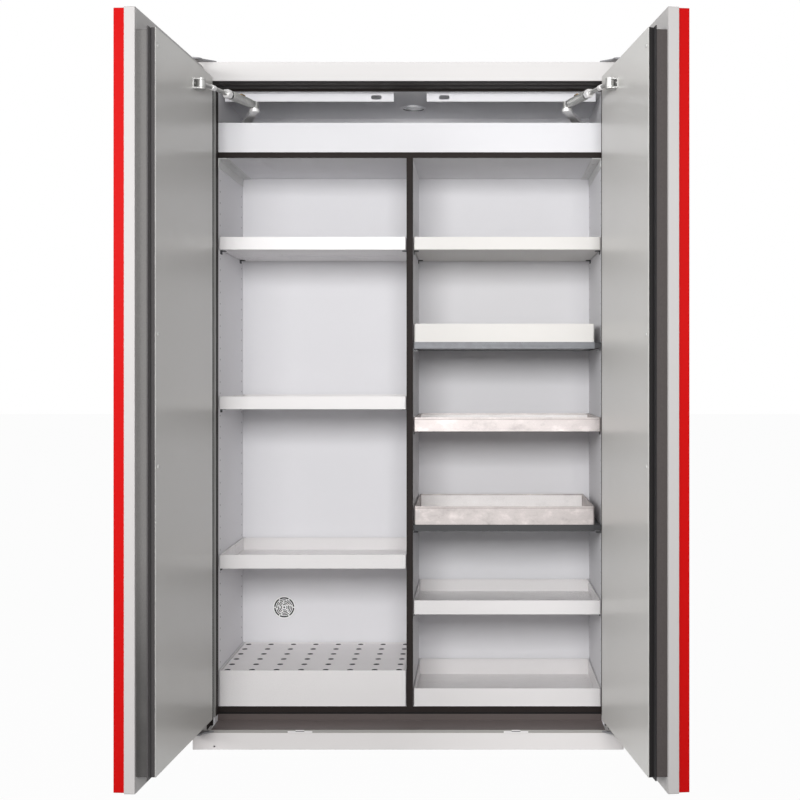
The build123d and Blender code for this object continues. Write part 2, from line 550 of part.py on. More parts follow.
def perforated_insert() -> Part:
    """Upturned tray with a grid of drain holes, standing in the left sump."""
    wall = RIM_HEM + INSERT_PLAY
    x = (LEFT_BAY[0] + wall, LEFT_BAY[1] - wall)
    depth = (SHELF_SPAN[0] + wall, SHELF_SPAN[1] - wall)
    top = FLOOR_TOP + SUMP_HEIGHT_LEFT - INSERT_DROP
    upside_down = pan(x, depth, (-top, -FLOOR_TOP - SHELF_SHEET), SHELF_SHEET)
    insert = mirror(upside_down, about=Plane.XY)
    columns = int((x[1] - x[0]) // INSERT_HOLE_PITCH) + 1
    rows = int((depth[1] - depth[0]) // INSERT_HOLE_PITCH) + 1
    centre = ((x[0] + x[1]) / 2, deep((depth[0] + depth[1]) / 2), top)
    grid = GridLocations(INSERT_HOLE_PITCH, INSERT_HOLE_PITCH, columns, rows)
    drills = [Pos(*centre) * place * Cylinder(INSERT_HOLE_RADIUS, 4 * SHELF_SHEET) for place in grid]
    return insert - drills


def shelf_clips() -> list:
    """Folded clips under the ends of the loose shelves."""
    width, length, height = CLIP_SIZE
    clips = []
    bays = ((LEFT_SHELF_BOTTOMS, -HALF_INTERIOR, -HALF_CENTRE), (RIGHT_SHELF_BOTTOMS, HALF_CENTRE, HALF_INTERIOR))
    for bottoms, low_wall, high_wall in bays:
        for z in bottoms.values():
            for depth in (SHELF_SPAN[0] + CLIP_INSET, SHELF_SPAN[1] - CLIP_INSET):
                for wall, path in ((low_wall, [(low_wall, z - height), (low_wall, z), (low_wall + width, z)]),
                                   (high_wall, [(high_wall - width, z), (high_wall, z), (high_wall, z - height)])):
                    span = (depth - length / 2, depth + length / 2)
                    clips.append(along_depth(folded(path[::-1], CLIP_SHEET), span))
    return clips


def corner_rails() -> list:
    """Punched angle rails in the upper outer corners of both columns."""
    top = PARTITION_SHELF_BOTTOM
    path = [(-HALF_INTERIOR, top - CORNER_RAIL), (-HALF_INTERIOR, top), (-HALF_INTERIOR + CORNER_RAIL, top)]
    rail = along_depth(folded(path[::-1], CORNER_RAIL_SHEET), SHELF_SPAN)
    pitch = SHELF_DEPTH / CORNER_RAIL_HOLES
    for i in range(CORNER_RAIL_HOLES):
        y = deep(SHELF_FRONT + pitch * (i + 0.5))
        at = (-HALF_INTERIOR + CORNER_RAIL * 0.6, y, top)
        rail -= Pos(*at) * Cylinder(CORNER_RAIL_HOLE_RADIUS, 4 * CORNER_RAIL_SHEET)
    return pair(rail)


def vent_grille() -> Part:
    """Round exhaust grille: rings of curved slots, each (mean radius, width, count), round a square hole."""
    plate = Cylinder(GRILLE_RADIUS, GRILLE_PLATE, align=(Align.CENTER, Align.CENTER, Align.MIN))
    plate = chamfer(plate.edges().group_by(Axis.Z)[-1], GRILLE_PLATE / 3)
    plate -= extrude(Rot(0, 0, 45) * Rectangle(GRILLE_HUB_HOLE, GRILLE_HUB_HOLE), GRILLE_PLATE)
    for place, (radius, width, count) in enumerate(GRILLE_RINGS):
        ring = Circle(radius + width / 2) - Circle(radius - width / 2)
        for i in range(count):
            turn = Rot(0, 0, 360 / count * i + GRILLE_TWIST * place)
            ring -= turn * Pos(radius, 0) * Rectangle(2 * width, GRILLE_WEB)
        plate -= extrude(ring, GRILLE_PLATE)
    plane = Plane(origin=(GRILLE_X, deep(INTERIOR_DEPTH), GRILLE_Z), x_dir=(1, 0, 0), z_dir=(0, -1, 0))
    return plane * plate


# ---- pull-out drawers ------------------------------------------------------------------------------------------------------
def drawer_span() -> tuple:
    """Depths of a drawer that is pushed in."""
    return (DRAWER_FRONT, DRAWER_FRONT + DRAWER_DEPTH)


def drawer_sides() -> tuple:
    """Runner sections at the partition and at the outer spacer: fixed face and direction to the drawer."""
    return ((HALF_CENTRE, 1), (DRAWER_RIGHT_X - RUNNER_SHEET, -1))


def channel(face: float, way: int, width: float, z: tuple) -> Face:
    """C-section of a runner member, its web on the given face and its lips turned in."""
    lip = RUNNER_LIP
    path = [(face + way * width, z[0] + lip), (face + way * width, z[0]), (face, z[0]), (face, z[1]),
            (face + way * width, z[1]), (face + way * width, z[1] - lip)]
    return folded(path if way < 0 else path[::-1], RUNNER_SHEET)


def runner_heights(bottom: float, nested: int) -> tuple:
    """Height range of a runner member, nested so many times inside the fixed one."""
    inset = nested * (RUNNER_SHEET + RUNNER_PLAY)
    low = bottom + RUNNER_LIFT
    return (low + inset, low + RUNNER_HEIGHT - inset)


def runner_length() -> tuple:
    """Depths of a runner that is pushed in."""
    start = DRAWER_FRONT + RUNNER_SETBACK
    return (start, start + RUNNER_LENGTH)


def drawer_runners() -> list:
    """Fixed runner channels of both drawers, with the spacers that carry the outer ones."""
    pieces = []
    for bottom in DRAWER_CARRIER_BOTTOMS.values():
        z = runner_heights(bottom, 0)
        for face, way in drawer_sides():
            pieces.append(along_depth(channel(face, way, RUNNER_WIDTH, z), runner_length()))
        outer_face = drawer_sides()[1][0]
        pieces.append(block((outer_face, HALF_INTERIOR), runner_length(), z))
    return pieces


def drawer_slides(bottom: float) -> list:
    """Middle members of one drawer's telescopic runners."""
    z = runner_heights(bottom, 1)
    inset = RUNNER_SHEET + RUNNER_PLAY
    width = RUNNER_WIDTH - 2 * inset
    return [along_depth(channel(face + way * inset, way, width, z), runner_length()) for face, way in drawer_sides()]


def drawer_carrier(bottom: float) -> Part:
    """Folded carrier pan between the runners, with a full-width front lip and the inner runner bars."""
    z = runner_heights(bottom, 2)
    bars, sides = [], []
    for face, way in drawer_sides():
        near = face + way * 2 * (RUNNER_SHEET + RUNNER_PLAY)
        far = face + way * (RUNNER_WIDTH + RUNNER_SHEET + 2 * RUNNER_PLAY)
        bars.append(block(tuple(sorted((near, far + way * SHELF_SHEET / 2))), runner_length(),
                          (z[0] + RUNNER_LIP, z[1] - RUNNER_LIP)))
        sides.append(far)
    height = (bottom, bottom + CARRIER_HEIGHT)
    carrier = pan(tuple(sides), drawer_span(), height, SHELF_SHEET)
    lip = block((DRAWER_LEFT_X, DRAWER_RIGHT_X), (DRAWER_FRONT, DRAWER_FRONT + SHELF_SHEET), height)
    return carrier + lip + bars


def drawer_tray(bottom: float) -> Part:
    """Lift-out tray that stands on the carrier."""
    inset = DRAWER_TRAY_INSET
    x = (DRAWER_LEFT_X, DRAWER_RIGHT_X - inset)
    low = bottom + CARRIER_HEIGHT
    depth = (DRAWER_FRONT - 1, DRAWER_FRONT + DRAWER_DEPTH - inset)
    return hemmed_pan(x, depth, (low, low + DRAWER_TRAY_HEIGHT))


# ---- doors ---------------------------------------------------------------------------------------------------------------------
def swung(shape, side: str):
    """A piece of the shut left door, placed at its side and at the angle the door stands open."""
    if side == "right":
        shape = mirrored(shape)
    way, angle = (1, -OPEN_ANGLE_LEFT) if side == "left" else (-1, OPEN_ANGLE_RIGHT)
    hinge = Axis((-way * HINGE_X, deep(-HINGE_FORWARD), 0), (0, 0, 1))
    return shape.rotate(hinge, angle)


def leaf_tray(x: tuple, depth: tuple, z: tuple, back: bool) -> Part:
    """A sheet tray standing upright, its floor at the front or at the back."""
    inside = (depth[0] - 1, depth[1] - DOOR_SHEET) if back else (depth[0] + DOOR_SHEET, depth[1] + 1)
    outer = block(x, depth, z)
    outer = fillet(outer.edges().filter_by(Axis.Y), LEAF_CORNER)
    hollow = block((x[0] + DOOR_SHEET, x[1] - DOOR_SHEET), inside, (z[0] + DOOR_SHEET, z[1] - DOOR_SHEET))
    return outer - hollow


def hinge_hole(radius: float) -> Part:
    """Upright drill on the left hinge line, through the whole leaf."""
    return Pos(-HINGE_X, deep(-HINGE_FORWARD), BODY_HEIGHT / 2) * Cylinder(radius, 2 * BODY_HEIGHT)


def door_skin() -> Part:
    """Red outer sheet, folded back on all four sides."""
    inset = SKIN_REVEAL
    x = (LEAF_HINGE_EDGE + inset, LEAF_FREE_EDGE - inset)
    skin = leaf_tray(x, (LEAF_OUTER, LEAF_OUTER + SKIN_DEPTH), (DOOR_BOTTOM + inset, DOOR_TOP - inset), False)
    return skin - hinge_hole(BUSH_FLANGE_RADIUS + BUSH_HOLE_PLAY)


def door_frame() -> Part:
    """Light grey sheet on the inside of the leaf, its margin showing round the inner leaf."""
    frame = leaf_tray((LEAF_HINGE_EDGE, LEAF_FREE_EDGE), (LEAF_INNER - FRAME_DEPTH, LEAF_INNER),
                      (DOOR_BOTTOM, DOOR_TOP), True)
    slot = Plane.XZ * SlotOverall(MARGIN_SLOT[1], MARGIN_SLOT[0], rotation=90)
    for z in (DOOR_BOTTOM + MARGIN_SLOT_INSET[1], DOOR_TOP - MARGIN_SLOT_INSET[1]):
        frame -= Pos(LEAF_FREE_EDGE - MARGIN_SLOT_INSET[0], deep(LEAF_INNER), z) * extrude(slot, DOOR_SHEET, both=True)
    return frame - hinge_hole(BUSH_FLANGE_RADIUS + BUSH_HOLE_PLAY)


def door_core() -> Part:
    """Fire board that fills the leaf."""
    gap = DOOR_SHEET + SKIN_REVEAL
    core = block((LEAF_HINGE_EDGE + gap, LEAF_FREE_EDGE - gap), (LEAF_OUTER + DOOR_SHEET, LEAF_INNER - DOOR_SHEET),
                 (DOOR_BOTTOM + gap, DOOR_TOP - gap))
    return core - hinge_hole(BUSH_RADIUS)


def door_step_boards() -> list:
    """Dark rebate step on the leaf, and the smaller board under the inner panel."""
    x = (INNER_HINGE_EDGE, LEAF_FREE_EDGE - STEP_SETBACK)
    step = block(x, (LEAF_INNER, STEP_INNER), (STEP_BOTTOM, STEP_TOP))
    inner = block((INNER_HINGE_EDGE, INNER_FREE_EDGE), (FIN_INNER, PANEL_FACE - INNER_PANEL_SHEET),
                  (INNER_BOTTOM + INNER_BOARD_INSET, INNER_TOP - INNER_BOARD_INSET))
    return [fillet(step.edges().filter_by(Axis.Y), STEP_CORNER), inner]


def door_fin() -> Part:
    """Thin lamella between the step and the inner board, standing out at the free edge and both ends."""
    x = (INNER_HINGE_EDGE, LEAF_FREE_EDGE - STEP_SETBACK + 1)
    return block(x, (STEP_INNER, FIN_INNER), (STEP_BOTTOM - FIN_OVERHANG, STEP_TOP + FIN_OVERHANG))


def door_inner_panel() -> Part:
    """Light grey panel that faces the stored goods."""
    panel = block((INNER_HINGE_EDGE, INNER_FREE_EDGE), (PANEL_FACE - INNER_PANEL_SHEET, PANEL_FACE),
                  (INNER_BOTTOM, INNER_TOP))
    return fillet(panel.edges().filter_by(Axis.Y), 2)


def door_plugs() -> list:
    """Caps over the panel's screws near the free edge."""
    x = INNER_FREE_EDGE - PLUG_FROM_EDGE
    plugs = []
    for z in PLUG_HEIGHTS:
        plug = cylinder_along(PLUG_RADIUS, (x, deep(PANEL_FACE), z), (x, deep(PANEL_FACE + PLUG_PROUD), z))
        plugs.append(chamfer(plug.edges().group_by(Axis.Y)[-1], PLUG_PROUD / 3))
    return plugs


def hinge_bush(z: float, up: int) -> Part:
    """Flanged bush in one end of the leaf, its bore running on the hinge pin."""
    bore = HINGE_PIN_RADIUS + RUNNING_CLEARANCE
    far, face = z - up * BUSH_LENGTH, z + up * BUSH_FLANGE
    outline = [(bore, far), (BUSH_RADIUS, far), (BUSH_RADIUS, z), (BUSH_FLANGE_RADIUS, z),
               (BUSH_FLANGE_RADIUS, face), (bore, face)]
    turned = revolve(Plane.XZ * make_face(Polyline(*outline, close=True)), Axis.Z)
    return Pos(-HINGE_X, deep(-HINGE_FORWARD), 0) * turned


def hinge_bushes() -> list:
    """Bushes at the top and bottom of a leaf."""
    return [hinge_bush(DOOR_TOP, 1), hinge_bush(DOOR_BOTTOM, -1)]


def hinge_plate(z: tuple) -> Part:
    """Plate that reaches forward from the body to the hinge line."""
    nose = -HINGE_FORWARD - HINGE_PLATE_NOSE
    half = HINGE_PLATE_WIDTH / 2
    right = -HALF_WIDTH + HINGE_PLATE_WIDTH
    reach = -HALF_WIDTH + HINGE_PLATE_REACH
    outline = [(-HALF_WIDTH, nose + half), (-HALF_WIDTH, HINGE_PLATE_BACK), (reach, HINGE_PLATE_BACK),
               (reach, HINGE_PLATE), (right, nose + half)]
    plate = make_face(Polyline(*outline, close=True))
    plate += Pos((right - HALF_WIDTH) / 2, nose + half) * Circle(half)
    return upright(plate, z)


def hinge_brackets() -> list:
    """Top plates on the body and bottom plates under the doors, each with its pivot pin."""
    top_plate = (BODY_HEIGHT, BODY_HEIGHT + HINGE_PLATE)
    low_face = DOOR_BOTTOM - BUSH_FLANGE - COLLAR_GAP
    pin_x, pin_y = -HINGE_X, deep(-HINGE_FORWARD)
    top_pin = cylinder_along(HINGE_PIN_RADIUS, (pin_x, pin_y, top_plate[0]),
                             (pin_x, pin_y, DOOR_TOP - BUSH_LENGTH + PIN_SHORTER))
    top = hinge_plate(top_plate) + top_pin
    bottom_plate = (PLINTH_HEIGHT - HINGE_PLATE + BASE_PAN_HEIGHT, BASE_TOP)
    nose = hinge_plate(bottom_plate) - block((-BODY_WIDTH, 0), (0, BODY_DEPTH), (0, BODY_HEIGHT))
    bottom_pin = cylinder_along(HINGE_PIN_RADIUS, (pin_x, pin_y, bottom_plate[0]),
                                (pin_x, pin_y, DOOR_BOTTOM + BUSH_LENGTH - PIN_SHORTER))
    collar = cylinder_along(BUSH_FLANGE_RADIUS, (pin_x, pin_y, bottom_plate[1]), (pin_x, pin_y, low_face))
    return pair(top) + pair(nose + bottom_pin + collar)


def closer_bracket() -> Part:
    """Fork on the inner panel, its two ears and pin holding the forearm's eye."""
    x, depth = BRACKET_SHUT
    width, sheet = BRACKET_PLATE
    upper_ear = FOREARM_BOTTOM + EYE_HEIGHT + LAYER_GAP
    low, high = CLOSER_LEVEL - BRACKET_EAR, upper_ear + BRACKET_EAR
    bracket = block((x - width / 2, x + width / 2), (PANEL_FACE, PANEL_FACE + sheet), (low, high))
    for bottom in (low, upper_ear):
        z = (bottom, bottom + BRACKET_EAR)
        bracket += block((x - EYE_RADIUS, x + EYE_RADIUS), (PANEL_FACE, depth), z)
        bracket += Pos(x, deep(depth), (z[0] + z[1]) / 2) * Cylinder(EYE_RADIUS, BRACKET_EAR)
    return bracket + cylinder_along(BRACKET_PIN_RADIUS, (x, deep(depth), low), (x, deep(depth), high + PIN_PROUD))


# ---- door closers -------------------------------------------------------------------------------------------------------------
def turned_by(point: tuple, angle: float) -> tuple:
    """A point of the shut left door's plan, swung open by an angle."""
    x, y = point[0] + HINGE_X, point[1] + HINGE_FORWARD
    c, s = cos(radians(angle)), sin(radians(angle))
    return (x * c + y * s - HINGE_X, -x * s + y * c - HINGE_FORWARD)


def elbow_at(angle: float) -> tuple:
    """Elbow of the left closer with the door open by an angle: the four pivots form a parallelogram."""
    x, depth = turned_by(BRACKET_SHUT, angle)
    return (x + FOREARM_VECTOR[0], depth + FOREARM_VECTOR[1])


def placed_closer(shape, side: str):
    """A piece of the left closer, mirrored for the right door."""
    return mirrored(shape) if side == "right" else shape


def closer_arm(angle: float) -> Part:
    """Main arm from the spindle to the elbow, tapering, with spindle and elbow pin."""
    (sx, sd), (ex, ed) = SPINDLE, elbow_at(angle)
    length = hypot(ex - sx, ed - sd)
    spindle_half, elbow_half = SPINDLE_BOSS_RADIUS * ARM_WAIST, ELBOW_RADIUS * ARM_WAIST
    outline = Circle(SPINDLE_BOSS_RADIUS) + Pos(length, 0) * Circle(ELBOW_RADIUS)
    outline += make_face(Polyline((0, -spindle_half), (length, -elbow_half), (length, elbow_half),
                                  (0, spindle_half), close=True))
    spindle = Cylinder(SPINDLE_RADIUS, SPINDLE_LENGTH, align=(Align.CENTER, Align.CENTER, Align.MAX))
    screw = Cylinder(SPINDLE_RADIUS, ARM_THICKNESS + PIN_PROUD, align=(Align.CENTER, Align.CENTER, Align.MIN))
    pin = Cylinder(ELBOW_PIN_RADIUS, ARM_THICKNESS + LAYER_GAP + EYE_HEIGHT + PIN_PROUD,
                   align=(Align.CENTER, Align.CENTER, Align.MIN))
    arm = extrude(outline, ARM_THICKNESS) + spindle + screw + Pos(length, 0) * pin
    heading = degrees(atan2(ed - sd, ex - sx))
    return Pos(sx, deep(sd), CLOSER_LEVEL - ARM_THICKNESS) * Rot(0, 0, heading) * arm


def eye(point: tuple, bore: float) -> Part:
    """Turned eye at one end of a forearm."""
    ring = Cylinder(EYE_RADIUS, EYE_HEIGHT) - Cylinder(bore, 2 * EYE_HEIGHT)
    return Pos(point[0], deep(point[1]), FOREARM_BOTTOM + EYE_HEIGHT / 2) * ring


def closer_forearm(angle: float) -> Part:
    """Adjustable forearm: sleeve at the elbow, lock nut, rod to the door bracket and an eye at each end."""
    elbow, bracket = elbow_at(angle), turned_by(BRACKET_SHUT, angle)

    def along(share: float) -> tuple:
        """Point on the forearm's centre line at a distance from the elbow."""
        t = share / FOREARM_LENGTH
        return (elbow[0] + (bracket[0] - elbow[0]) * t, deep(elbow[1] + (bracket[1] - elbow[1]) * t), FOREARM_AXIS)

    sleeve_end = along(FOREARM_SLEEVE_LENGTH)
    sleeve = cylinder_along(FOREARM_SLEEVE_RADIUS, along(EYE_RADIUS - EYE_OVERLAP), sleeve_end)
    rod_direction = Vector(*along(FOREARM_LENGTH)) - Vector(*sleeve_end)
    nut = Plane(origin=sleeve_end, z_dir=rod_direction) * extrude(
        RegularPolygon(FOREARM_NUT_RADIUS, 6), FOREARM_NUT_LENGTH)
    rod = cylinder_along(FOREARM_ROD_RADIUS, sleeve_end, along(FOREARM_LENGTH - EYE_RADIUS + EYE_OVERLAP))
    elbow_hole = ELBOW_PIN_RADIUS + RUNNING_CLEARANCE
    bracket_hole = BRACKET_PIN_RADIUS + OPEN_PIVOT_CLEARANCE
    return sleeve + nut + rod + eye(elbow, elbow_hole) + eye(bracket, bracket_hole)


# ---- handle in the right door ------------------------------------------------------------------------------------------------------


def cup_hollow(extra: float) -> Part:
    """The recess that the handle sits in, grown by an extra all round."""
    x = (HANDLE_X - CUP_SIZE[0] / 2 - extra, HANDLE_X + CUP_SIZE[0] / 2 + extra)
    z = (HANDLE_HEIGHT - CUP_SIZE[1] / 2 - extra, HANDLE_HEIGHT + CUP_SIZE[1] / 2 + extra)
    hollow = block(x, (LEAF_OUTER - CUP_MOUTH, LEAF_OUTER + CUP_DEPTH + extra), z)
    return fillet(hollow.edges().filter_by(Axis.Y), CUP_CORNER + extra)


def handle_cup() -> Part:
    """Recessed pull cup with a flange on the skin."""
    shell = cup_hollow(CUP_SHEET)
    flange = RectangleRounded(CUP_SIZE[0] + 2 * CUP_FLANGE, CUP_SIZE[1] + 2 * CUP_FLANGE, CUP_CORNER)
    plate = Pos(HANDLE_X, deep(LEAF_OUTER), HANDLE_HEIGHT) * Rot(90, 0, 0) * extrude(flange, CUP_SHEET)
    shell &= block((-HALF_WIDTH, 0), (LEAF_OUTER - CUP_SHEET, 0), (0, BODY_HEIGHT))
    cup = shell + plate - cup_hollow(0)
    lock_hole = cylinder_along(LOCK_RADIUS, *lock_axis(LOCK_LENGTH + LOCK_HOLE_SPARE))
    boss = cylinder_along(LOCK_RADIUS + LOCK_BOSS, *lock_axis(CUP_DEPTH - LOCK_BOSS_DEPTH))
    return cup + (boss & cup_hollow(CUP_SHEET / 2)) - lock_hole


def lock_axis(length: float) -> tuple:
    """Ends of the lock's centre line, from its face inwards."""
    z = HANDLE_HEIGHT - CUP_SIZE[1] / 2 + LOCK_RADIUS + LOCK_MARGIN
    face = LEAF_OUTER + LOCK_SETBACK
    return ((HANDLE_X, deep(face), z), (HANDLE_X, deep(face + length), z))


def handle_lever() -> Part:
    """Paddle in the cup, hinged at its top on a cross pin and pulled at its bottom."""
    width, _, thick = LEVER_SIZE
    front = LEAF_OUTER + LEVER_RECESS
    grip, thinner = LEVER_GRIP
    outline = [(front, LEVER_BOTTOM), (front, LEVER_PIVOT_Z), (front + thick, LEVER_PIVOT_Z),
               (front + thick, LEVER_BOTTOM + grip), (front + thick - thinner, LEVER_BOTTOM)]
    paddle = across(make_face(Polyline(*outline, close=True)), (HANDLE_X - width / 2, HANDLE_X + width / 2))
    barrel = cylinder_along(LEVER_BARREL_RADIUS, (HANDLE_X - width / 2, deep(LEVER_PIVOT_DEPTH), LEVER_PIVOT_Z),
                            (HANDLE_X + width / 2, deep(LEVER_PIVOT_DEPTH), LEVER_PIVOT_Z))
    half = CUP_SIZE[0] / 2 - LEVER_PIN_GAP
    pin = cylinder_along(LEVER_PIN_RADIUS, (HANDLE_X - half, deep(LEVER_PIVOT_DEPTH), LEVER_PIVOT_Z),
                         (HANDLE_X + half, deep(LEVER_PIVOT_DEPTH), LEVER_PIVOT_Z))
    return paddle + barrel + pin


def lock_cylinder() -> Part:
    """Lock cylinder with its key slot."""
    plug = cylinder_along(LOCK_RADIUS, *lock_axis(LOCK_LENGTH))
    slot = Pos(*lock_axis(LOCK_LENGTH)[0]) * Box(LOCK_SLOT[0], 2 * LOCK_SLOT_DEPTH, LOCK_SLOT[1])
    return plug - slot


# ---- the whole cabinet ------------------------------------------------------------------------------------------------------------------
def body_pieces() -> dict:
    """Fixed pieces by node name."""
    pieces = {
        "casing_sides": casing_sides(), "casing_top": casing_top(), "casing_back": casing_back(),
        "base_pan": base_pan(), "plinth": plinth(), "levelling_feet": levelling_feet(),
        "insulation_boards": insulation_boards(), "lining_panels": lining_panels(),
        "ceiling_lining": ceiling_lining(), "opening_seals": opening_seal() + edge_strips(),
        "interior_boards": interior_boards(), "fascia": fascia(), "closer_rails": closer_rails(),
        "exhaust_collar": exhaust_collar(), "closer_housings": closer_housings(),
        "perforated_insert": perforated_insert(), "shelf_clips": shelf_clips(), "corner_rails": corner_rails(),
        "vent_grille": vent_grille(), "drawer_runners": drawer_runners(), "hinge_brackets": hinge_brackets(),
        "sump_left": shelf(LEFT_BAY, FLOOR_TOP, SUMP_HEIGHT_LEFT),
        "sump_right": shelf(RIGHT_BAY, FLOOR_TOP, SUMP_HEIGHT_RIGHT),
    }
    for bay, bottoms in ((LEFT_BAY, LEFT_SHELF_BOTTOMS), (RIGHT_BAY, RIGHT_SHELF_BOTTOMS)):
        for name, bottom in bottoms.items():
            pieces[name] = shelf(bay, bottom, SHELF_HEIGHT if name.startswith("shelf") else TRAY_HEIGHT)
    return pieces


def drawer_pieces() -> dict:
    """Moving pieces of both drawers by node name."""
    pieces = {}
    for place, bottom in DRAWER_CARRIER_BOTTOMS.items():
        pieces[f"drawer_{place}_slides"] = drawer_slides(bottom)
        pieces[f"drawer_{place}_carrier"] = drawer_carrier(bottom)
        pieces[f"drawer_{place}_tray"] = drawer_tray(bottom)
    return pieces


def door_pieces(side: str) -> dict:
    """Pieces of one door and its closer by node name."""
    shut = {"skin": door_skin(), "frame": door_frame(), "core": door_core(), "step_boards": door_step_boards(),
            "fin": door_fin(), "inner_panel": door_inner_panel(),
            "plugs": door_plugs(), "hinge_bushes": hinge_bushes(), "closer_bracket": closer_bracket()}
    if side == "right":
        for name in ("skin", "core"):
            shut[name] -= cup_hollow(CUP_SHEET)
        shut |= {"handle_cup": handle_cup(), "handle_lever": handle_lever(), "lock_cylinder": lock_cylinder()}
    pieces = {}
    for name, shape in shut.items():
        solids = shape if isinstance(shape, list) else [shape]
        node = name if name.startswith(("handle", "lock")) else f"door_{side}_{name}"
        pieces[node] = [swung(solid, side) for solid in solids]
    angle = OPEN_ANGLE_LEFT if side == "left" else OPEN_ANGLE_RIGHT
    pieces[f"closer_arm_{side}"] = placed_closer(closer_arm(angle), side)
    pieces[f"closer_forearm_{side}"] = placed_closer(closer_forearm(angle), side)
    return pieces


def main() -> None:
    """Build every piece and write one STEP file per node."""
    os.makedirs("parts", exist_ok=True)
    nodes = body_pieces() | drawer_pieces() | door_pieces("left") | door_pieces("right")
    for name, shape in nodes.items():
        solids = shape if isinstance(shape, list) else [shape]
        parts = [solid for item in solids for solid in item.solids()]
        export_step(parts[0] if len(parts) == 1 else Compound(children=parts), f"parts/{name}.step")


if __name__ == "__main__":
    main()
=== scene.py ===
"""Dressed model of a fire-resistant safety cabinet with two wing doors.

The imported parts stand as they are; this script gives each of them its finish and adds the small fittings
that ride on them: pin holes, screws, clips, gaskets, edge trims, sleeves and caps.  Metres, +Z up, origin in
the middle of the body's footprint.
"""
import json
import logging
import math
from dataclasses import dataclass
from enum import Enum
from typing import Callable, Iterable, Sequence

import bmesh
import bpy
from mathutils import Matrix, Vector

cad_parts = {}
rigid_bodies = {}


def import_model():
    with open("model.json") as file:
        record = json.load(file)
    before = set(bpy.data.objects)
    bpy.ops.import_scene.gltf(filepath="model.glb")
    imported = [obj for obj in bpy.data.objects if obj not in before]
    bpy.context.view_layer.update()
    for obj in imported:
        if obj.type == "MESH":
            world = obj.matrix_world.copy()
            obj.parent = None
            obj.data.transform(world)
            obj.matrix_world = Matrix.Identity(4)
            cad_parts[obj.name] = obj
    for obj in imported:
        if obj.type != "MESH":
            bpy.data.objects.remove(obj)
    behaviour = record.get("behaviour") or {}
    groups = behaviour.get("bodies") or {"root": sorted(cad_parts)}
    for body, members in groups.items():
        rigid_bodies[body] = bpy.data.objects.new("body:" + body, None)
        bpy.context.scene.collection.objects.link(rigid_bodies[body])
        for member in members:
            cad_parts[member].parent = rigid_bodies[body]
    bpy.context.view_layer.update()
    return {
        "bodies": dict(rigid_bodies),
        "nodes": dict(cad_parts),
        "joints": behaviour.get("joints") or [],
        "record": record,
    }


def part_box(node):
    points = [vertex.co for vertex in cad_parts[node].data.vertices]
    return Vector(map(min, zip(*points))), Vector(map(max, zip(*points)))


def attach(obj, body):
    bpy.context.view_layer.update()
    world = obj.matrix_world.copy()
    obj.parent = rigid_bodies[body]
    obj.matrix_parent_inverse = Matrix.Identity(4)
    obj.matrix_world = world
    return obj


Colour = tuple[float, float, float]
Point = tuple[float, float, float]
Profile = tuple[tuple[float, float], ...]
Node = bpy.types.Node
Socket = bpy.types.NodeSocket
LOG = logging.getLogger("safety_cabinet")
SIDES = ("left", "right")
WHITE = (1.0, 1.0, 1.0, 1.0)
SUNK = 0.0004    # how far a screw head reaches into the surface under it
CREASE = math.radians(38)
SCREW_HEAD: Profile = ((1.0, 0.5), (0.8, 0.9), (0.55, 1.0))    # shares of its radius and of its height
SCREW_HEIGHT, SOCKET, SOCKET_FLOOR = 0.45, 0.42, 0.3


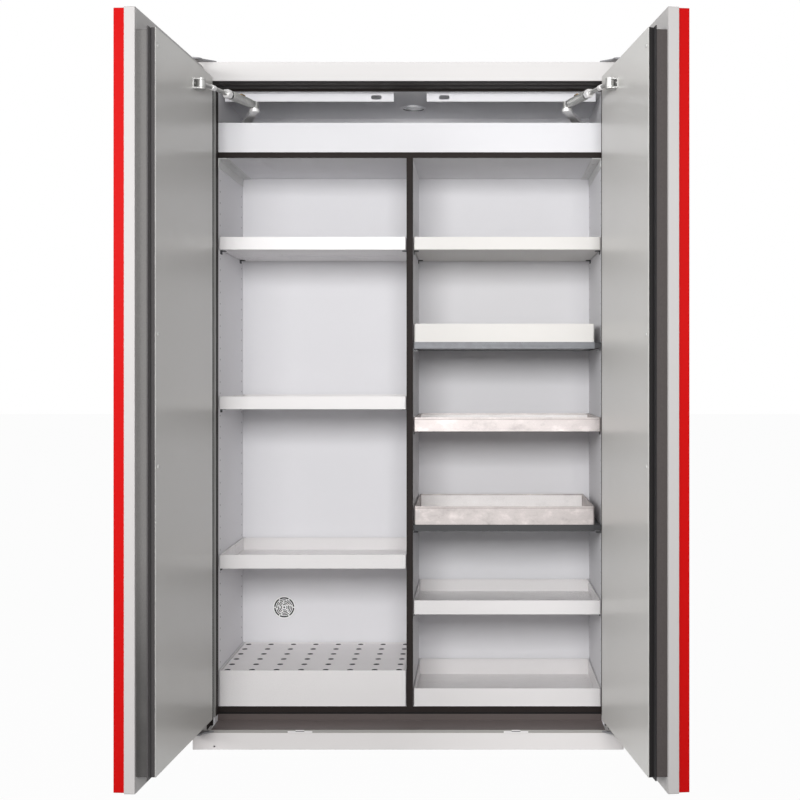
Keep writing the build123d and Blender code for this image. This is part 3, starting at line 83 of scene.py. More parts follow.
# ---- laying out shader nodes -------------------------------------------------------------------------
class Wiring:
    """Adds nodes to one node tree and links them."""

    def __init__(self, tree: bpy.types.NodeTree) -> None:
        """Starts on a material's or group's node tree, and clears it."""
        self.tree = tree
        tree.nodes.clear()

    def add(self, kind: str, **settings: object) -> Node:
        """Adds a node.

        Args:
            kind: the node's type, without the ShaderNode prefix.
            settings: attributes of the node.

        Returns:
            The new node.
        """
        node = self.tree.nodes.new(kind if kind.startswith("NodeGroup") else "ShaderNode" + kind)
        for name, value in settings.items():
            setattr(node, name, value)
        return node

    def feed(self, node: Node, **inputs: object) -> Node:
        """Sets or links a node's inputs; underscores in a name stand for spaces.

        Args:
            node: the node to feed.
            inputs: a plain value, or the output socket to link.

        Returns:
            The same node.
        """
        for name, value in inputs.items():
            self.join(value, node.inputs[name.replace("_", " ")])
        return node

    def join(self, value: object, socket: Socket) -> None:
        """Links or sets one input.

        Args:
            value: a plain value, or the output socket to link.
            socket: the input.
        """
        if isinstance(value, Socket):
            self.tree.links.new(value, socket)
        else:
            socket.default_value = value

    def noise(self, vector: Socket, scale: object, detail: float = 3.0, roughness: float = 0.5) -> Socket:
        """Cloud noise from 0 to 1 over a position, with so many cells per metre."""
        node = self.feed(self.add("TexNoise"), Vector=vector, Scale=scale, Detail=detail, Roughness=roughness)
        return node.outputs["Fac"]

    def maths(self, operation: str, a: object, b: object = 0.0, clamp: bool = False) -> Socket:
        """One arithmetic step.

        Args:
            operation: the Math node's operation.
            a: first value or socket.
            b: second value or socket.
            clamp: keep the result between 0 and 1.

        Returns:
            The result.
        """
        node = self.add("Math", operation=operation, use_clamp=clamp)
        for socket, value in zip(node.inputs, (a, b)):
            self.join(value, socket)
        return node.outputs[0]

    def span(self, value: Socket, low: float, high: float, to_low: float = 0.0,
             to_high: float = 1.0) -> Socket:
        """Maps a value from low...high to to_low...to_high, held at the ends."""
        node = self.feed(self.add("MapRange"), Value=value, From_Min=low, From_Max=high, To_Min=to_low,
                         To_Max=to_high)
        return node.outputs["Result"]

    def blend(self, mask: object, a: object, b: object) -> Socket:
        """Mixes two colours.

        Args:
            mask: share of b.
            a: first colour or socket.
            b: second colour or socket.

        Returns:
            The mixed colour.
        """
        node = self.add("Mix", data_type="RGBA")
        for index, value in ((0, mask), (6, a), (7, b)):
            self.join((*value, 1.0) if isinstance(value, tuple) else value, node.inputs[index])
        return node.outputs[2]

    def stretched(self, scale: Point) -> Socket:
        """The position in the cabinet's own frame, stretched along each axis."""
        place = self.add("TexCoord").outputs["Object"]
        return self.feed(self.add("Mapping"), Vector=place, Scale=scale).outputs["Vector"]


# ---- effects that several finishes share -------------------------------------------------------------
def effect(name: str, inputs: dict[str, float], outputs: dict[str, str],
           fill: Callable[[Wiring, Node, Node], None]) -> bpy.types.NodeTree:
    """Builds a shader node group once.

    Args:
        name: the group's name.
        inputs: default value of each number input.
        outputs: socket type of each output.
        fill: lays out the inside between the group's input and output nodes.

    Returns:
        The group.
    """
    if name in bpy.data.node_groups:
        return bpy.data.node_groups[name]
    group = bpy.data.node_groups.new(name, "ShaderNodeTree")
    for label, default in inputs.items():
        socket = group.interface.new_socket(label, in_out="INPUT", socket_type="NodeSocketFloat")
        socket.default_value = default
    for label, kind in outputs.items():
        group.interface.new_socket(label, in_out="OUTPUT", socket_type=kind)
    wiring = Wiring(group)
    fill(wiring, wiring.add("NodeGroupInput"), wiring.add("NodeGroupOutput"))
    return group


def peel_inside(w: Wiring, given: Node, made: Node) -> None:
    """Fine stipple of a sprayed coat, with a slow drift of its tone.

    Args:
        w: the group's wiring.
        given: its input node.
        made: its output node.
    """
    place = w.stretched((1, 1, 1))
    fine = w.noise(place, given.outputs["Scale"], detail=2.0, roughness=0.55)
    slow = w.noise(place, 2.1, detail=4.0, roughness=0.6)
    speck = w.span(w.noise(place, 900, detail=1.0), 0.35, 0.65)
    tone = w.maths("ADD", w.maths("MULTIPLY", slow, 0.75), w.maths("MULTIPLY", speck, 0.25))
    w.feed(made, Height=fine, Tone=tone)


def edge_inside(w: Wiring, given: Node, made: Node) -> None:
    """Rounded normal at the edges, and a broken mask along them.

    Args:
        w: the group's wiring.
        given: its input node.
        made: its output node.
    """
    rounded = w.feed(w.add("Bevel", samples=4), Radius=given.outputs["Radius"]).outputs["Normal"]
    dot = w.add("VectorMath", operation="DOT_PRODUCT")
    w.join(rounded, dot.inputs[0])
    w.join(w.add("NewGeometry").outputs["Normal"], dot.inputs[1])
    edge = w.span(dot.outputs["Value"], 0.995, 0.80)
    broken = w.span(w.noise(w.stretched((1, 1, 1)), 60, detail=5.0, roughness=0.7), 0.42, 0.62)
    worn = w.maths("MULTIPLY", edge, broken)
    w.feed(made, Mask=w.maths("MULTIPLY", worn, given.outputs["Amount"], True), Normal=rounded)


def dust_inside(w: Wiring, given: Node, made: Node) -> None:
    """Thin dust on whatever faces up.

    Args:
        w: the group's wiring.
        given: its input node.
        made: its output node.
    """
    normal = w.feed(w.add("SeparateXYZ"), Vector=w.add("NewGeometry").outputs["Normal"])
    up = w.span(normal.outputs["Z"], 0.4, 0.95)
    cloud = w.span(w.noise(w.stretched((1, 1, 1)), 14, detail=6.0, roughness=0.65), 0.35, 0.75)
    w.feed(made, Mask=w.maths("MULTIPLY", w.maths("MULTIPLY", up, cloud), given.outputs["Amount"], True))


def grain_inside(w: Wiring, given: Node, made: Node) -> None:
    """Long fine lines along X, as in rolled sheet or laminate.

    Args:
        w: the group's wiring.
        given: its input node.
        made: its output node.
    """
    lines = w.noise(w.stretched((3, 260, 260)), 1.0, detail=6.0, roughness=0.65)
    broad = w.noise(w.stretched((1.2, 30, 30)), 1.0, detail=3.0, roughness=0.5)
    mixed = w.maths("ADD", w.maths("MULTIPLY", lines, given.outputs["Fine"]),
                    w.maths("MULTIPLY", broad, w.maths("SUBTRACT", 1.0, given.outputs["Fine"])))
    w.feed(made, Tone=mixed)


def crystal_inside(w: Wiring, given: Node, made: Node) -> None:
    """Patches of zinc crystal, each with its own tone.

    Args:
        w: the group's wiring.
        given: its input node.
        made: its output node.
    """
    cells = w.add("TexVoronoi", feature="F1")
    w.feed(cells, Vector=w.stretched((1, 1, 1)), Scale=given.outputs["Scale"], Randomness=1.0)
    patch = w.feed(w.add("SeparateColor"), Color=cells.outputs["Color"])
    w.feed(made, Tone=patch.outputs["Red"])


def cloud_inside(w: Wiring, given: Node, made: Node) -> None:
    """Light and dark clouds of a pickled sheet, some centimetres across."""
    cloud = w.noise(w.stretched((1, 1, 1.5)), given.outputs["Scale"], detail=6.0, roughness=0.62)
    w.feed(made, Light=w.span(cloud, 0.52, 0.72), Dark=w.span(cloud, 0.46, 0.28))


def grime_inside(w: Wiring, given: Node, made: Node) -> None:
    """Painted shade that grows toward the floor, broken into clouds.

    Args:
        w: the group's wiring.
        given: its input node.
        made: its output node.
    """
    place = w.stretched((1, 1, 1))
    low = w.span(w.feed(w.add("SeparateXYZ"), Vector=place).outputs["Z"], 0.62, 0.30)
    cloud = w.span(w.noise(place, 9, detail=5.0, roughness=0.6), 0.25, 0.65, 0.7, 1.0)
    w.feed(made, Mask=w.maths("MULTIPLY", w.maths("MULTIPLY", low, cloud), given.outputs["Amount"], True))


FLOAT, VECTOR = "NodeSocketFloat", "NodeSocketVector"


class Effect(Enum):
    """Shared effects, each a node group."""

    PEEL = ("sprayed_peel", {"Scale": 1400.0}, {"Height": FLOAT, "Tone": FLOAT}, peel_inside)
    EDGE = ("rounded_edge", {"Radius": 0.0006, "Amount": 1.0}, {"Mask": FLOAT, "Normal": VECTOR}, edge_inside)
    DUST = ("settled_dust", {"Amount": 1.0}, {"Mask": FLOAT}, dust_inside)
    GRAIN = ("rolled_grain", {"Fine": 0.6}, {"Tone": FLOAT}, grain_inside)
    CLOUD = ("pickled_cloud", {"Scale": 24.0}, {"Light": FLOAT, "Dark": FLOAT}, cloud_inside)
    # painted shade that deepens toward the floor
    GRIME = ("low_grime", {"Amount": 1.0}, {"Mask": FLOAT}, grime_inside)
    CRYSTAL = ("zinc_crystal", {"Scale": 70.0}, {"Tone": FLOAT}, crystal_inside)

    def put(self, wiring: Wiring, **values: float) -> Node:
        """Places the effect in a material and sets its inputs."""
        return wiring.feed(wiring.add("Group", node_tree=effect(*self.value)), **values)


# ---- finishes ----------------------------------------------------------------------------------------
@dataclass(frozen=True)
class Finish:
    """What every finish has in common.

    The spread holds the tones between which the roughness changes, and how far it falls and rises there.
    """

    name: str
    slot: str
    colour: Colour
    roughness: float = 0.45
    spread: tuple[float, ...] = (0.3, 0.7, 0.06, 0.06)
    relief: float = 0.0001
    strength: float = 0.5
    rounding: float = 0.0006
    wear: float = 0.1

    def material(self) -> bpy.types.Material:
        """The finish as a material, made once.

        Returns:
            The material.
        """
        if self.name in bpy.data.materials:
            return bpy.data.materials[self.name]
        material = bpy.data.materials.new(self.name)
        material.use_nodes = True
        material.diffuse_color = (*self.colour, 1.0)
        wiring = Wiring(material.node_tree)
        shader = wiring.add("BsdfPrincipled")
        wiring.feed(wiring.add("OutputMaterial"), Surface=shader.outputs["BSDF"])
        self.dress(wiring, shader)
        return material

    def dress(self, wiring: Wiring, shader: Node) -> None:
        """Lays out the finish in front of its shader.

        Args:
            wiring: the material's wiring.
            shader: the Principled shader.
        """
        raise NotImplementedError

    def shade(self, factor: float) -> Colour:
        """The finish's colour made darker or lighter by a factor."""
        return tuple(min(1.0, c * factor) for c in self.colour)

    def varied(self, wiring: Wiring, mask: Socket, share: float) -> Socket:
        """The colour, darker by a share where a mask is 0 and lighter by it where it is 1."""
        return wiring.blend(mask, self.shade(1 - share), self.shade(1 + share))

    def surface(self, wiring: Wiring, shader: Node, tone: Socket, height: Socket, normal: Socket,
                **inputs: object) -> None:
        """The last step of every finish: roughness, relief and the shader's inputs.

        Args:
            wiring: the material's wiring.
            shader: the Principled shader.
            tone: what the roughness follows.
            height: the relief.
            normal: the normal under the relief.
            inputs: the shader's other inputs.
        """
        low, high, fall, rise = self.spread
        bump = wiring.feed(wiring.add("Bump"), Strength=self.strength, Distance=self.relief, Height=height,
                           Normal=normal)
        roughness = wiring.span(tone, low, high, self.roughness - fall, self.roughness + rise)
        wiring.feed(shader, Roughness=roughness, Normal=bump.outputs["Normal"], **inputs)


@dataclass(frozen=True)
class SprayedCoat(Finish):
    """Powder coat or enamel on sheet."""

    peel: float = 1400.0
    spread: tuple[float, ...] = (0.3, 0.7, 0.04, 0.06)
    relief: float = 0.00004
    drift: float = 0.05
    dust: float = 0.10
    coat: float = 0.0
    coat_roughness: float = 0.12
    specular: float = 0.5
    rounding: float = 0.0007
    dust_colour: Colour = (0.62, 0.60, 0.57)

    def dress(self, wiring: Wiring, shader: Node) -> None:
        """Stippled coat with rounded, slightly worn edges and a little dust.

        Args:
            wiring: the material's wiring.
            shader: the Principled shader.
        """
        peel = Effect.PEEL.put(wiring, Scale=self.peel)
        edge = Effect.EDGE.put(wiring, Radius=self.rounding, Amount=self.wear)
        dust = Effect.DUST.put(wiring, Amount=self.dust)
        tone = self.varied(wiring, peel.outputs["Tone"], self.drift)
        bare = tuple(0.5 * c + 0.28 for c in self.colour)
        worn = wiring.blend(edge.outputs["Mask"], tone, bare)
        colour = wiring.blend(dust.outputs["Mask"], worn, self.dust_colour)
        self.surface(wiring, shader, peel.outputs["Tone"], peel.outputs["Height"], edge.outputs["Normal"],
                     Base_Color=colour, Coat_Weight=self.coat, Coat_Roughness=self.coat_roughness,
                     Specular_IOR_Level=self.specular)


@dataclass(frozen=True)
class BoardFace(Finish):
    """Melamine or laminate face with a fine linear grain."""

    grain: float = 0.06
    fine: float = 0.6
    peel: float = 700.0
    spread: tuple[float, ...] = (0.3, 0.7, 0.05, 0.05)
    relief: float = 0.00003
    rounding: float = 0.0008
    wear: float = 0.2
    specular: float = 0.35

    def dress(self, wiring: Wiring, shader: Node) -> None:
        """Fine lines in colour and relief over a slow drift.

        Args:
            wiring: the material's wiring.
            shader: the Principled shader.
        """
        grain = Effect.GRAIN.put(wiring, Fine=self.fine)
        peel = Effect.PEEL.put(wiring, Scale=self.peel)
        edge = Effect.EDGE.put(wiring, Radius=self.rounding, Amount=self.wear)
        lines = self.varied(wiring, grain.outputs["Tone"], self.grain)
        drift = wiring.blend(peel.outputs["Tone"], lines, self.shade(1 - self.grain / 2))
        colour = wiring.blend(edge.outputs["Mask"], drift, self.shade(1.15))
        self.surface(wiring, shader, grain.outputs["Tone"], grain.outputs["Tone"], edge.outputs["Normal"],
                     Base_Color=colour, Specular_IOR_Level=self.specular)


@dataclass(frozen=True)
class BareMetal(Finish):
    """Rolled, plated or turned metal."""

    metallic: float = 1.0
    mottle: float = 0.12
    crystal: float = 0.0
    lines: float = 0.3
    wear: float = 0.3
    stain: float = 0.0
    fine: float = 0.7
    peel: float = 600.0
    crystals: float = 90.0
    clouds: float = 24.0
    spread: tuple[float, ...] = (0.25, 0.75, 0.08, 0.10)
    relief: float = 0.00002
    strength: float = 0.4
    rounding: float = 0.0004

    def dress(self, wiring: Wiring, shader: Node) -> None:
        """Rolling lines and cloudy patches in colour and roughness.

        Args:
            wiring: the material's wiring.
            shader: the Principled shader.
        """
        grain = Effect.GRAIN.put(wiring, Fine=self.fine)
        drift = Effect.PEEL.put(wiring, Scale=self.peel)
        edge = Effect.EDGE.put(wiring, Radius=self.rounding, Amount=self.wear)
        patch = Effect.CRYSTAL.put(wiring, Scale=self.crystals)
        cloud = Effect.CLOUD.put(wiring, Scale=self.clouds)
        colour = self.varied(wiring, wiring.span(drift.outputs["Tone"], 0.35, 0.65), self.mottle)
        for mask, amount, factor in ((grain.outputs["Tone"], self.lines, 0.72),
                                     (patch.outputs["Tone"], self.crystal, 1.5),
                                     (cloud.outputs["Light"], 2 * self.stain, 1.6),
                                     (cloud.outputs["Dark"], 2 * self.stain, 0.45)):
            colour = wiring.blend(wiring.maths("MULTIPLY", mask, amount), colour, self.shade(factor))
        colour = wiring.blend(edge.outputs["Mask"], colour, self.shade(1.3))
        self.surface(wiring, shader, grain.outputs["Tone"], grain.outputs["Tone"], edge.outputs["Normal"],
                     Base_Color=colour, Metallic=self.metallic)


@dataclass(frozen=True)
class SoftStrip(Finish):
    """Expanding seal, rubber or moulded plastic."""

    speckle: float = 0.2
    peel: float = 500.0
    specular: float = 0.15
    dust: float = 0.25
    # share of painted shade toward the floor
    grime: float = 0.0
    fine: float = 0.5
    strength: float = 0.6
    wear: float = 0.35
    dust_colour: Colour = (0.35, 0.33, 0.31)

    def dress(self, wiring: Wiring, shader: Node) -> None:
        """Matt, speckled and slightly uneven.

        Args:
            wiring: the material's wiring.
            shader: the Principled shader.
        """
        peel = Effect.PEEL.put(wiring, Scale=self.peel)
        grain = Effect.GRAIN.put(wiring, Fine=self.fine)
        edge = Effect.EDGE.put(wiring, Radius=self.rounding, Amount=self.wear)
        dust = Effect.DUST.put(wiring, Amount=self.dust)
        # painted shade toward the floor, in clouds
        grime = Effect.GRIME.put(wiring, Amount=self.grime)
        speckled = self.varied(wiring, wiring.span(peel.outputs["Height"], 0.3, 0.7), self.speckle)
        drawn = wiring.blend(wiring.maths("MULTIPLY", grain.outputs["Tone"], 0.3), speckled, self.shade(1.4))
        rubbed = wiring.blend(edge.outputs["Mask"], drawn, self.shade(1.9))
        dusty = wiring.blend(dust.outputs["Mask"], rubbed, self.dust_colour)
        colour = wiring.blend(grime.outputs["Mask"], dusty, self.shade(0.3))
        self.surface(wiring, shader, peel.outputs["Tone"], peel.outputs["Height"], edge.outputs["Normal"],
                     Base_Color=colour, Specular_IOR_Level=self.specular)


SKIN_RED = SprayedCoat("skin_red_enamel", "skin_red", (0.47, 0.0015, 0.0015), 0.34, relief=0.00002, wear=0.01,
                       dust=0.02, specular=0.12)
CASING_GREY = SprayedCoat("casing_grey_coat", "casing_grey", (0.66, 0.645, 0.64), 0.48, drift=0.02,
                          specular=0.4)
# Lighter copy of the casing coat: painted light on the plinth and base pan, which sit low where less light
# falls.
PLINTH_GREY = SprayedCoat("plinth_grey_coat", "casing_grey", (0.78, 0.755, 0.75), 0.48, drift=0.02,
                          specular=0.4)
# Darker copy of the casing coat: painted shade on the doors' frame edges.
DOOR_EDGE = SprayedCoat("door_edge_coat", "casing_grey", (0.46, 0.445, 0.44), 0.45, drift=0.02, specular=0.4)
PANEL_GREY = SprayedCoat("panel_grey_coat", "panel_grey", (0.57, 0.56, 0.54), 0.34, peel=1000.0,
                         relief=0.00002, drift=0.02, wear=0.012, coat=0.15)
LINING = BoardFace("lining_face", "lining_white", (0.805, 0.80, 0.823), 0.50, grain=0.02)
# Lighter copy of the lining board: painted light on the top compartment's ceiling, which sits in shade.
COMPARTMENT = BoardFace("compartment_face", "ceiling_grey", (0.94, 0.94, 0.96), 0.50, grain=0.04)
SHELF_WHITE = SprayedCoat("shelf_white_coat", "shelf_white", (0.81, 0.79, 0.79), 0.30, drift=0.012)
SHELF_CREAM = SprayedCoat("shelf_cream_coat", "shelf_cream", (0.695, 0.675, 0.65), 0.36, drift=0.012,
                          specular=0.4)
FASCIA_WHITE = SprayedCoat("fascia_white_coat", "shelf_white", (0.755, 0.75, 0.775), 0.42, drift=0.015,
                           specular=0.4)
# Lighter copy of the white shelf coat: painted light on the up-facing perforated insert.
INSERT_WHITE = SprayedCoat("insert_white_coat", "shelf_white", (0.94, 0.91, 0.91), 0.36, drift=0.02)
GRILLE_WHITE = SprayedCoat("grille_white_coat", "shelf_white", (0.95, 0.95, 0.95), 0.35, drift=0.01, wear=0.0,
                           dust=0.0, specular=0.4, rounding=0.0001)
EDGING_GREY = SprayedCoat("edging_grey_coat", "panel_grey", (0.36, 0.355, 0.345), 0.42, drift=0.03, wear=0.04)
# Grey strip of painted shade on the plinth's lip.
LIP_GREY = SprayedCoat("lip_grey_coat", "casing_grey", (0.36, 0.35, 0.335), 0.45, drift=0.03, specular=0.3)
STAINLESS = BareMetal("stainless_pickled", "stainless", (0.465, 0.425, 0.415), 0.42, metallic=0.5,
                      mottle=0.10, lines=0.16, stain=0.26)
GALVANISED = BareMetal("galvanised_sheet", "galvanised", (0.108, 0.111, 0.119), 0.45, metallic=0.35,
                       mottle=0.2, crystal=0.35, lines=0.2)
# Dark steel for dark parts; it is also painted shade on the closer sleeve's core between its ribs.
DARK_STEEL = BareMetal("dark_steel", "steel_dark", (0.035, 0.035, 0.038), 0.5, metallic=0.2)
ZINC = BareMetal("zinc_plate", "zinc", (0.40, 0.40, 0.39), 0.36, metallic=0.85, mottle=0.14, crystal=0.15)
# Lighter, less metallic copy of the zinc plate: painted light on the closer arms, the nuts and the rod
# collars.
ZINC_BRIGHT = BareMetal("zinc_bright", "zinc", (0.80, 0.79, 0.79), 0.32, metallic=0.4, mottle=0.06, lines=0.1)
COLLAR_STEEL = BareMetal("collar_steel", "stainless", (0.92, 0.92, 0.93), 0.60, mottle=0.04, lines=0.1)
# Lighter stainless: painted reflection on the inside back wall of the steel trays.
STEEL_BRIGHT = BareMetal("stainless_bright", "stainless", (0.93, 0.90, 0.89), 0.45, metallic=0.1, mottle=0.08,
                         lines=0.1, stain=0.10)
# Darker stainless: painted shade under the hem of the steel trays.
STEEL_GROOVE = BareMetal("steel_groove", "stainless", (0.26, 0.22, 0.21), 0.50, metallic=0.3, mottle=0.20)
BRACKET_STEEL = BareMetal("bracket_steel", "steel_dark", (0.21, 0.21, 0.22), 0.42, metallic=0.5, mottle=0.15)
RAIL_GREY = SprayedCoat("rail_grey_coat", "casing_grey", (0.70, 0.70, 0.695), 0.42, drift=0.03)
BRASS = BareMetal("turned_brass", "brass", (0.62, 0.40, 0.13), 0.28, mottle=0.08)
SEAL = SoftStrip("expanding_seal", "seal_dark", (0.024, 0.019, 0.018), 0.58, specular=0.08, dust=0.5)
LAMINATE = SoftStrip("dark_laminate", "seal_dark", (0.062, 0.054, 0.052), 0.50, relief=0.00005)
# Lighter copy of the dark laminate: painted light on the left door's step boards, with painted shade toward
# the floor.
LAMINATE_PALE = SoftStrip("pale_laminate", "seal_dark", (0.135, 0.130, 0.127), 0.48, relief=0.00005,
                          grime=0.8)
FIN = SoftStrip("fin_black", "seal_dark", (0.014, 0.013, 0.014), 0.48, relief=0.00003)
# Black for real beads and gaskets; also painted shade in the drain holes, the grille's duct and the exhaust
# lip's groove.
BEAD_BLACK = SoftStrip("bead_black", "seal_dark", (0.012, 0.011, 0.011), 0.55, relief=0.00003, dust=0.0)
# Lighter copy of the black fin: painted light on the left door's fin and its cover strip.
FIN_PALE = SoftStrip("fin_grey", "seal_dark", (0.067, 0.063, 0.064), 0.48, relief=0.00003)
FIRE_BOARD = SoftStrip("mineral_board", "fire_board", (0.50, 0.47, 0.41), 0.85, relief=0.0004, speckle=0.12)
PLASTIC_BLACK = SoftStrip("moulded_black", "plastic_black", (0.022, 0.022, 0.023), 0.42, speckle=0.1)
PLASTIC_GREY = SoftStrip("moulded_grey", "plastic_grey", (0.50, 0.50, 0.49), 0.40, relief=0.00004,
                         speckle=0.05)
# Lit and shaded copies of one laminate: painted light on the sill's floor, painted shade on its riser.
SILL_FLOOR = BoardFace("sill_floor_face", "seal_dark", (0.17, 0.142, 0.138), 0.50, grain=0.20)
SILL_FACE = BoardFace("sill_riser_face", "seal_dark", (0.100, 0.080, 0.076), 0.50, grain=0.16)
HOLE_DARK = SoftStrip("bore_shadow", "steel_dark", (0.10, 0.10, 0.105), 0.8, speckle=0.1)

# the left cover strip takes the painted-light copy of the fin
COVERS: dict[str, Finish] = {"left": FIN_PALE, "right": BEAD_BLACK}
NODE_FINISHES: dict[Finish, tuple[str, ...]] = {
    CASING_GREY: ("casing_sides", "casing_top", "casing_back"),
    PLINTH_GREY: ("base_pan", "plinth"),
    SKIN_RED: ("door_left_skin", "door_right_skin"),
    DOOR_EDGE: ("door_left_frame", "door_right_frame"),
    PANEL_GREY: ("door_left_inner_panel", "door_right_inner_panel"),
    LINING: ("lining_panels", "interior_boards"),
    COMPARTMENT: ("ceiling_lining",),
    SHELF_WHITE: ("shelf_left_upper", "shelf_left_middle", "tray_shelf_left", "tray_shelf_right", "sump_left",
                  "sump_right"),
    INSERT_WHITE: ("perforated_insert",),
    GRILLE_WHITE: ("vent_grille",),
    SHELF_CREAM: ("shelf_right_upper", "drawer_upper_tray"),
    FASCIA_WHITE: ("fascia", "closer_rails"),
    STAINLESS: ("tray_right_steel", "drawer_lower_tray"),
    COLLAR_STEEL: ("exhaust_collar",),
    RAIL_GREY: ("corner_rails",),
    GALVANISED: ("drawer_upper_carrier",),
    DARK_STEEL: ("drawer_lower_carrier", "shelf_clips", "levelling_feet", "drawer_runners",
                 "drawer_upper_slides", "drawer_lower_slides"),
    BRACKET_STEEL: ("hinge_brackets",),
    ZINC: ("closer_forearm_left", "closer_forearm_right", "door_left_closer_bracket",
           "door_right_closer_bracket", "closer_housings", "lock_cylinder"),
    ZINC_BRIGHT: ("closer_arm_left", "closer_arm_right"),
    BRASS: ("door_left_hinge_bushes", "door_right_hinge_bushes"),
    SEAL: ("opening_seals",),
    LAMINATE_PALE: ("door_left_step_boards",),
    LAMINATE: ("door_right_step_boards",),
    FIN_PALE: ("door_left_fin",),
    FIN: ("door_right_fin",),
    FIRE_BOARD: ("insulation_boards", "door_left_core", "door_right_core"),
    PLASTIC_BLACK: ("handle_cup",),
    PLASTIC_GREY: ("door_left_plugs", "door_right_plugs", "handle_lever"),
}


def dress_nodes(nodes: dict[str, bpy.types.Object]) -> None:
    """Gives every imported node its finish.

    Args:
        nodes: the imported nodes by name.
    """
    waiting = set(nodes)
    for finish, names in NODE_FINISHES.items():
        for name in names:
            data = nodes[name].data
            data.materials.clear()
            data.materials.append(finish.material())
            waiting.discard(name)
    if waiting:
        raise ValueError(f"no finish for {sorted(waiting)}")
    LOG.info("dressed %d packed nodes", len(nodes))


# ---- mesh code ---------------------------------------------------------------------------------------
def facing(place: Sequence[float], way: Sequence[float]) -> Matrix:
    """Frame at a place whose Z points a given way."""
    return Matrix.Translation(place) @ Vector(way).to_track_quat("Z", "Y").to_matrix().to_4x4()


def rectangle(left: float, front: float, right: float, back: float) -> list[tuple[float, float]]:
    """Corners of a rectangle, anticlockwise."""
    return [(left, front), (right, front), (right, back), (left, back)]


def around(radius: float, count: int) -> list[tuple[float, float]]:
    """Points evenly round a circle."""
    angles = [math.tau * i / count for i in range(count)]
    return [(radius * math.cos(a), radius * math.sin(a)) for a in angles]


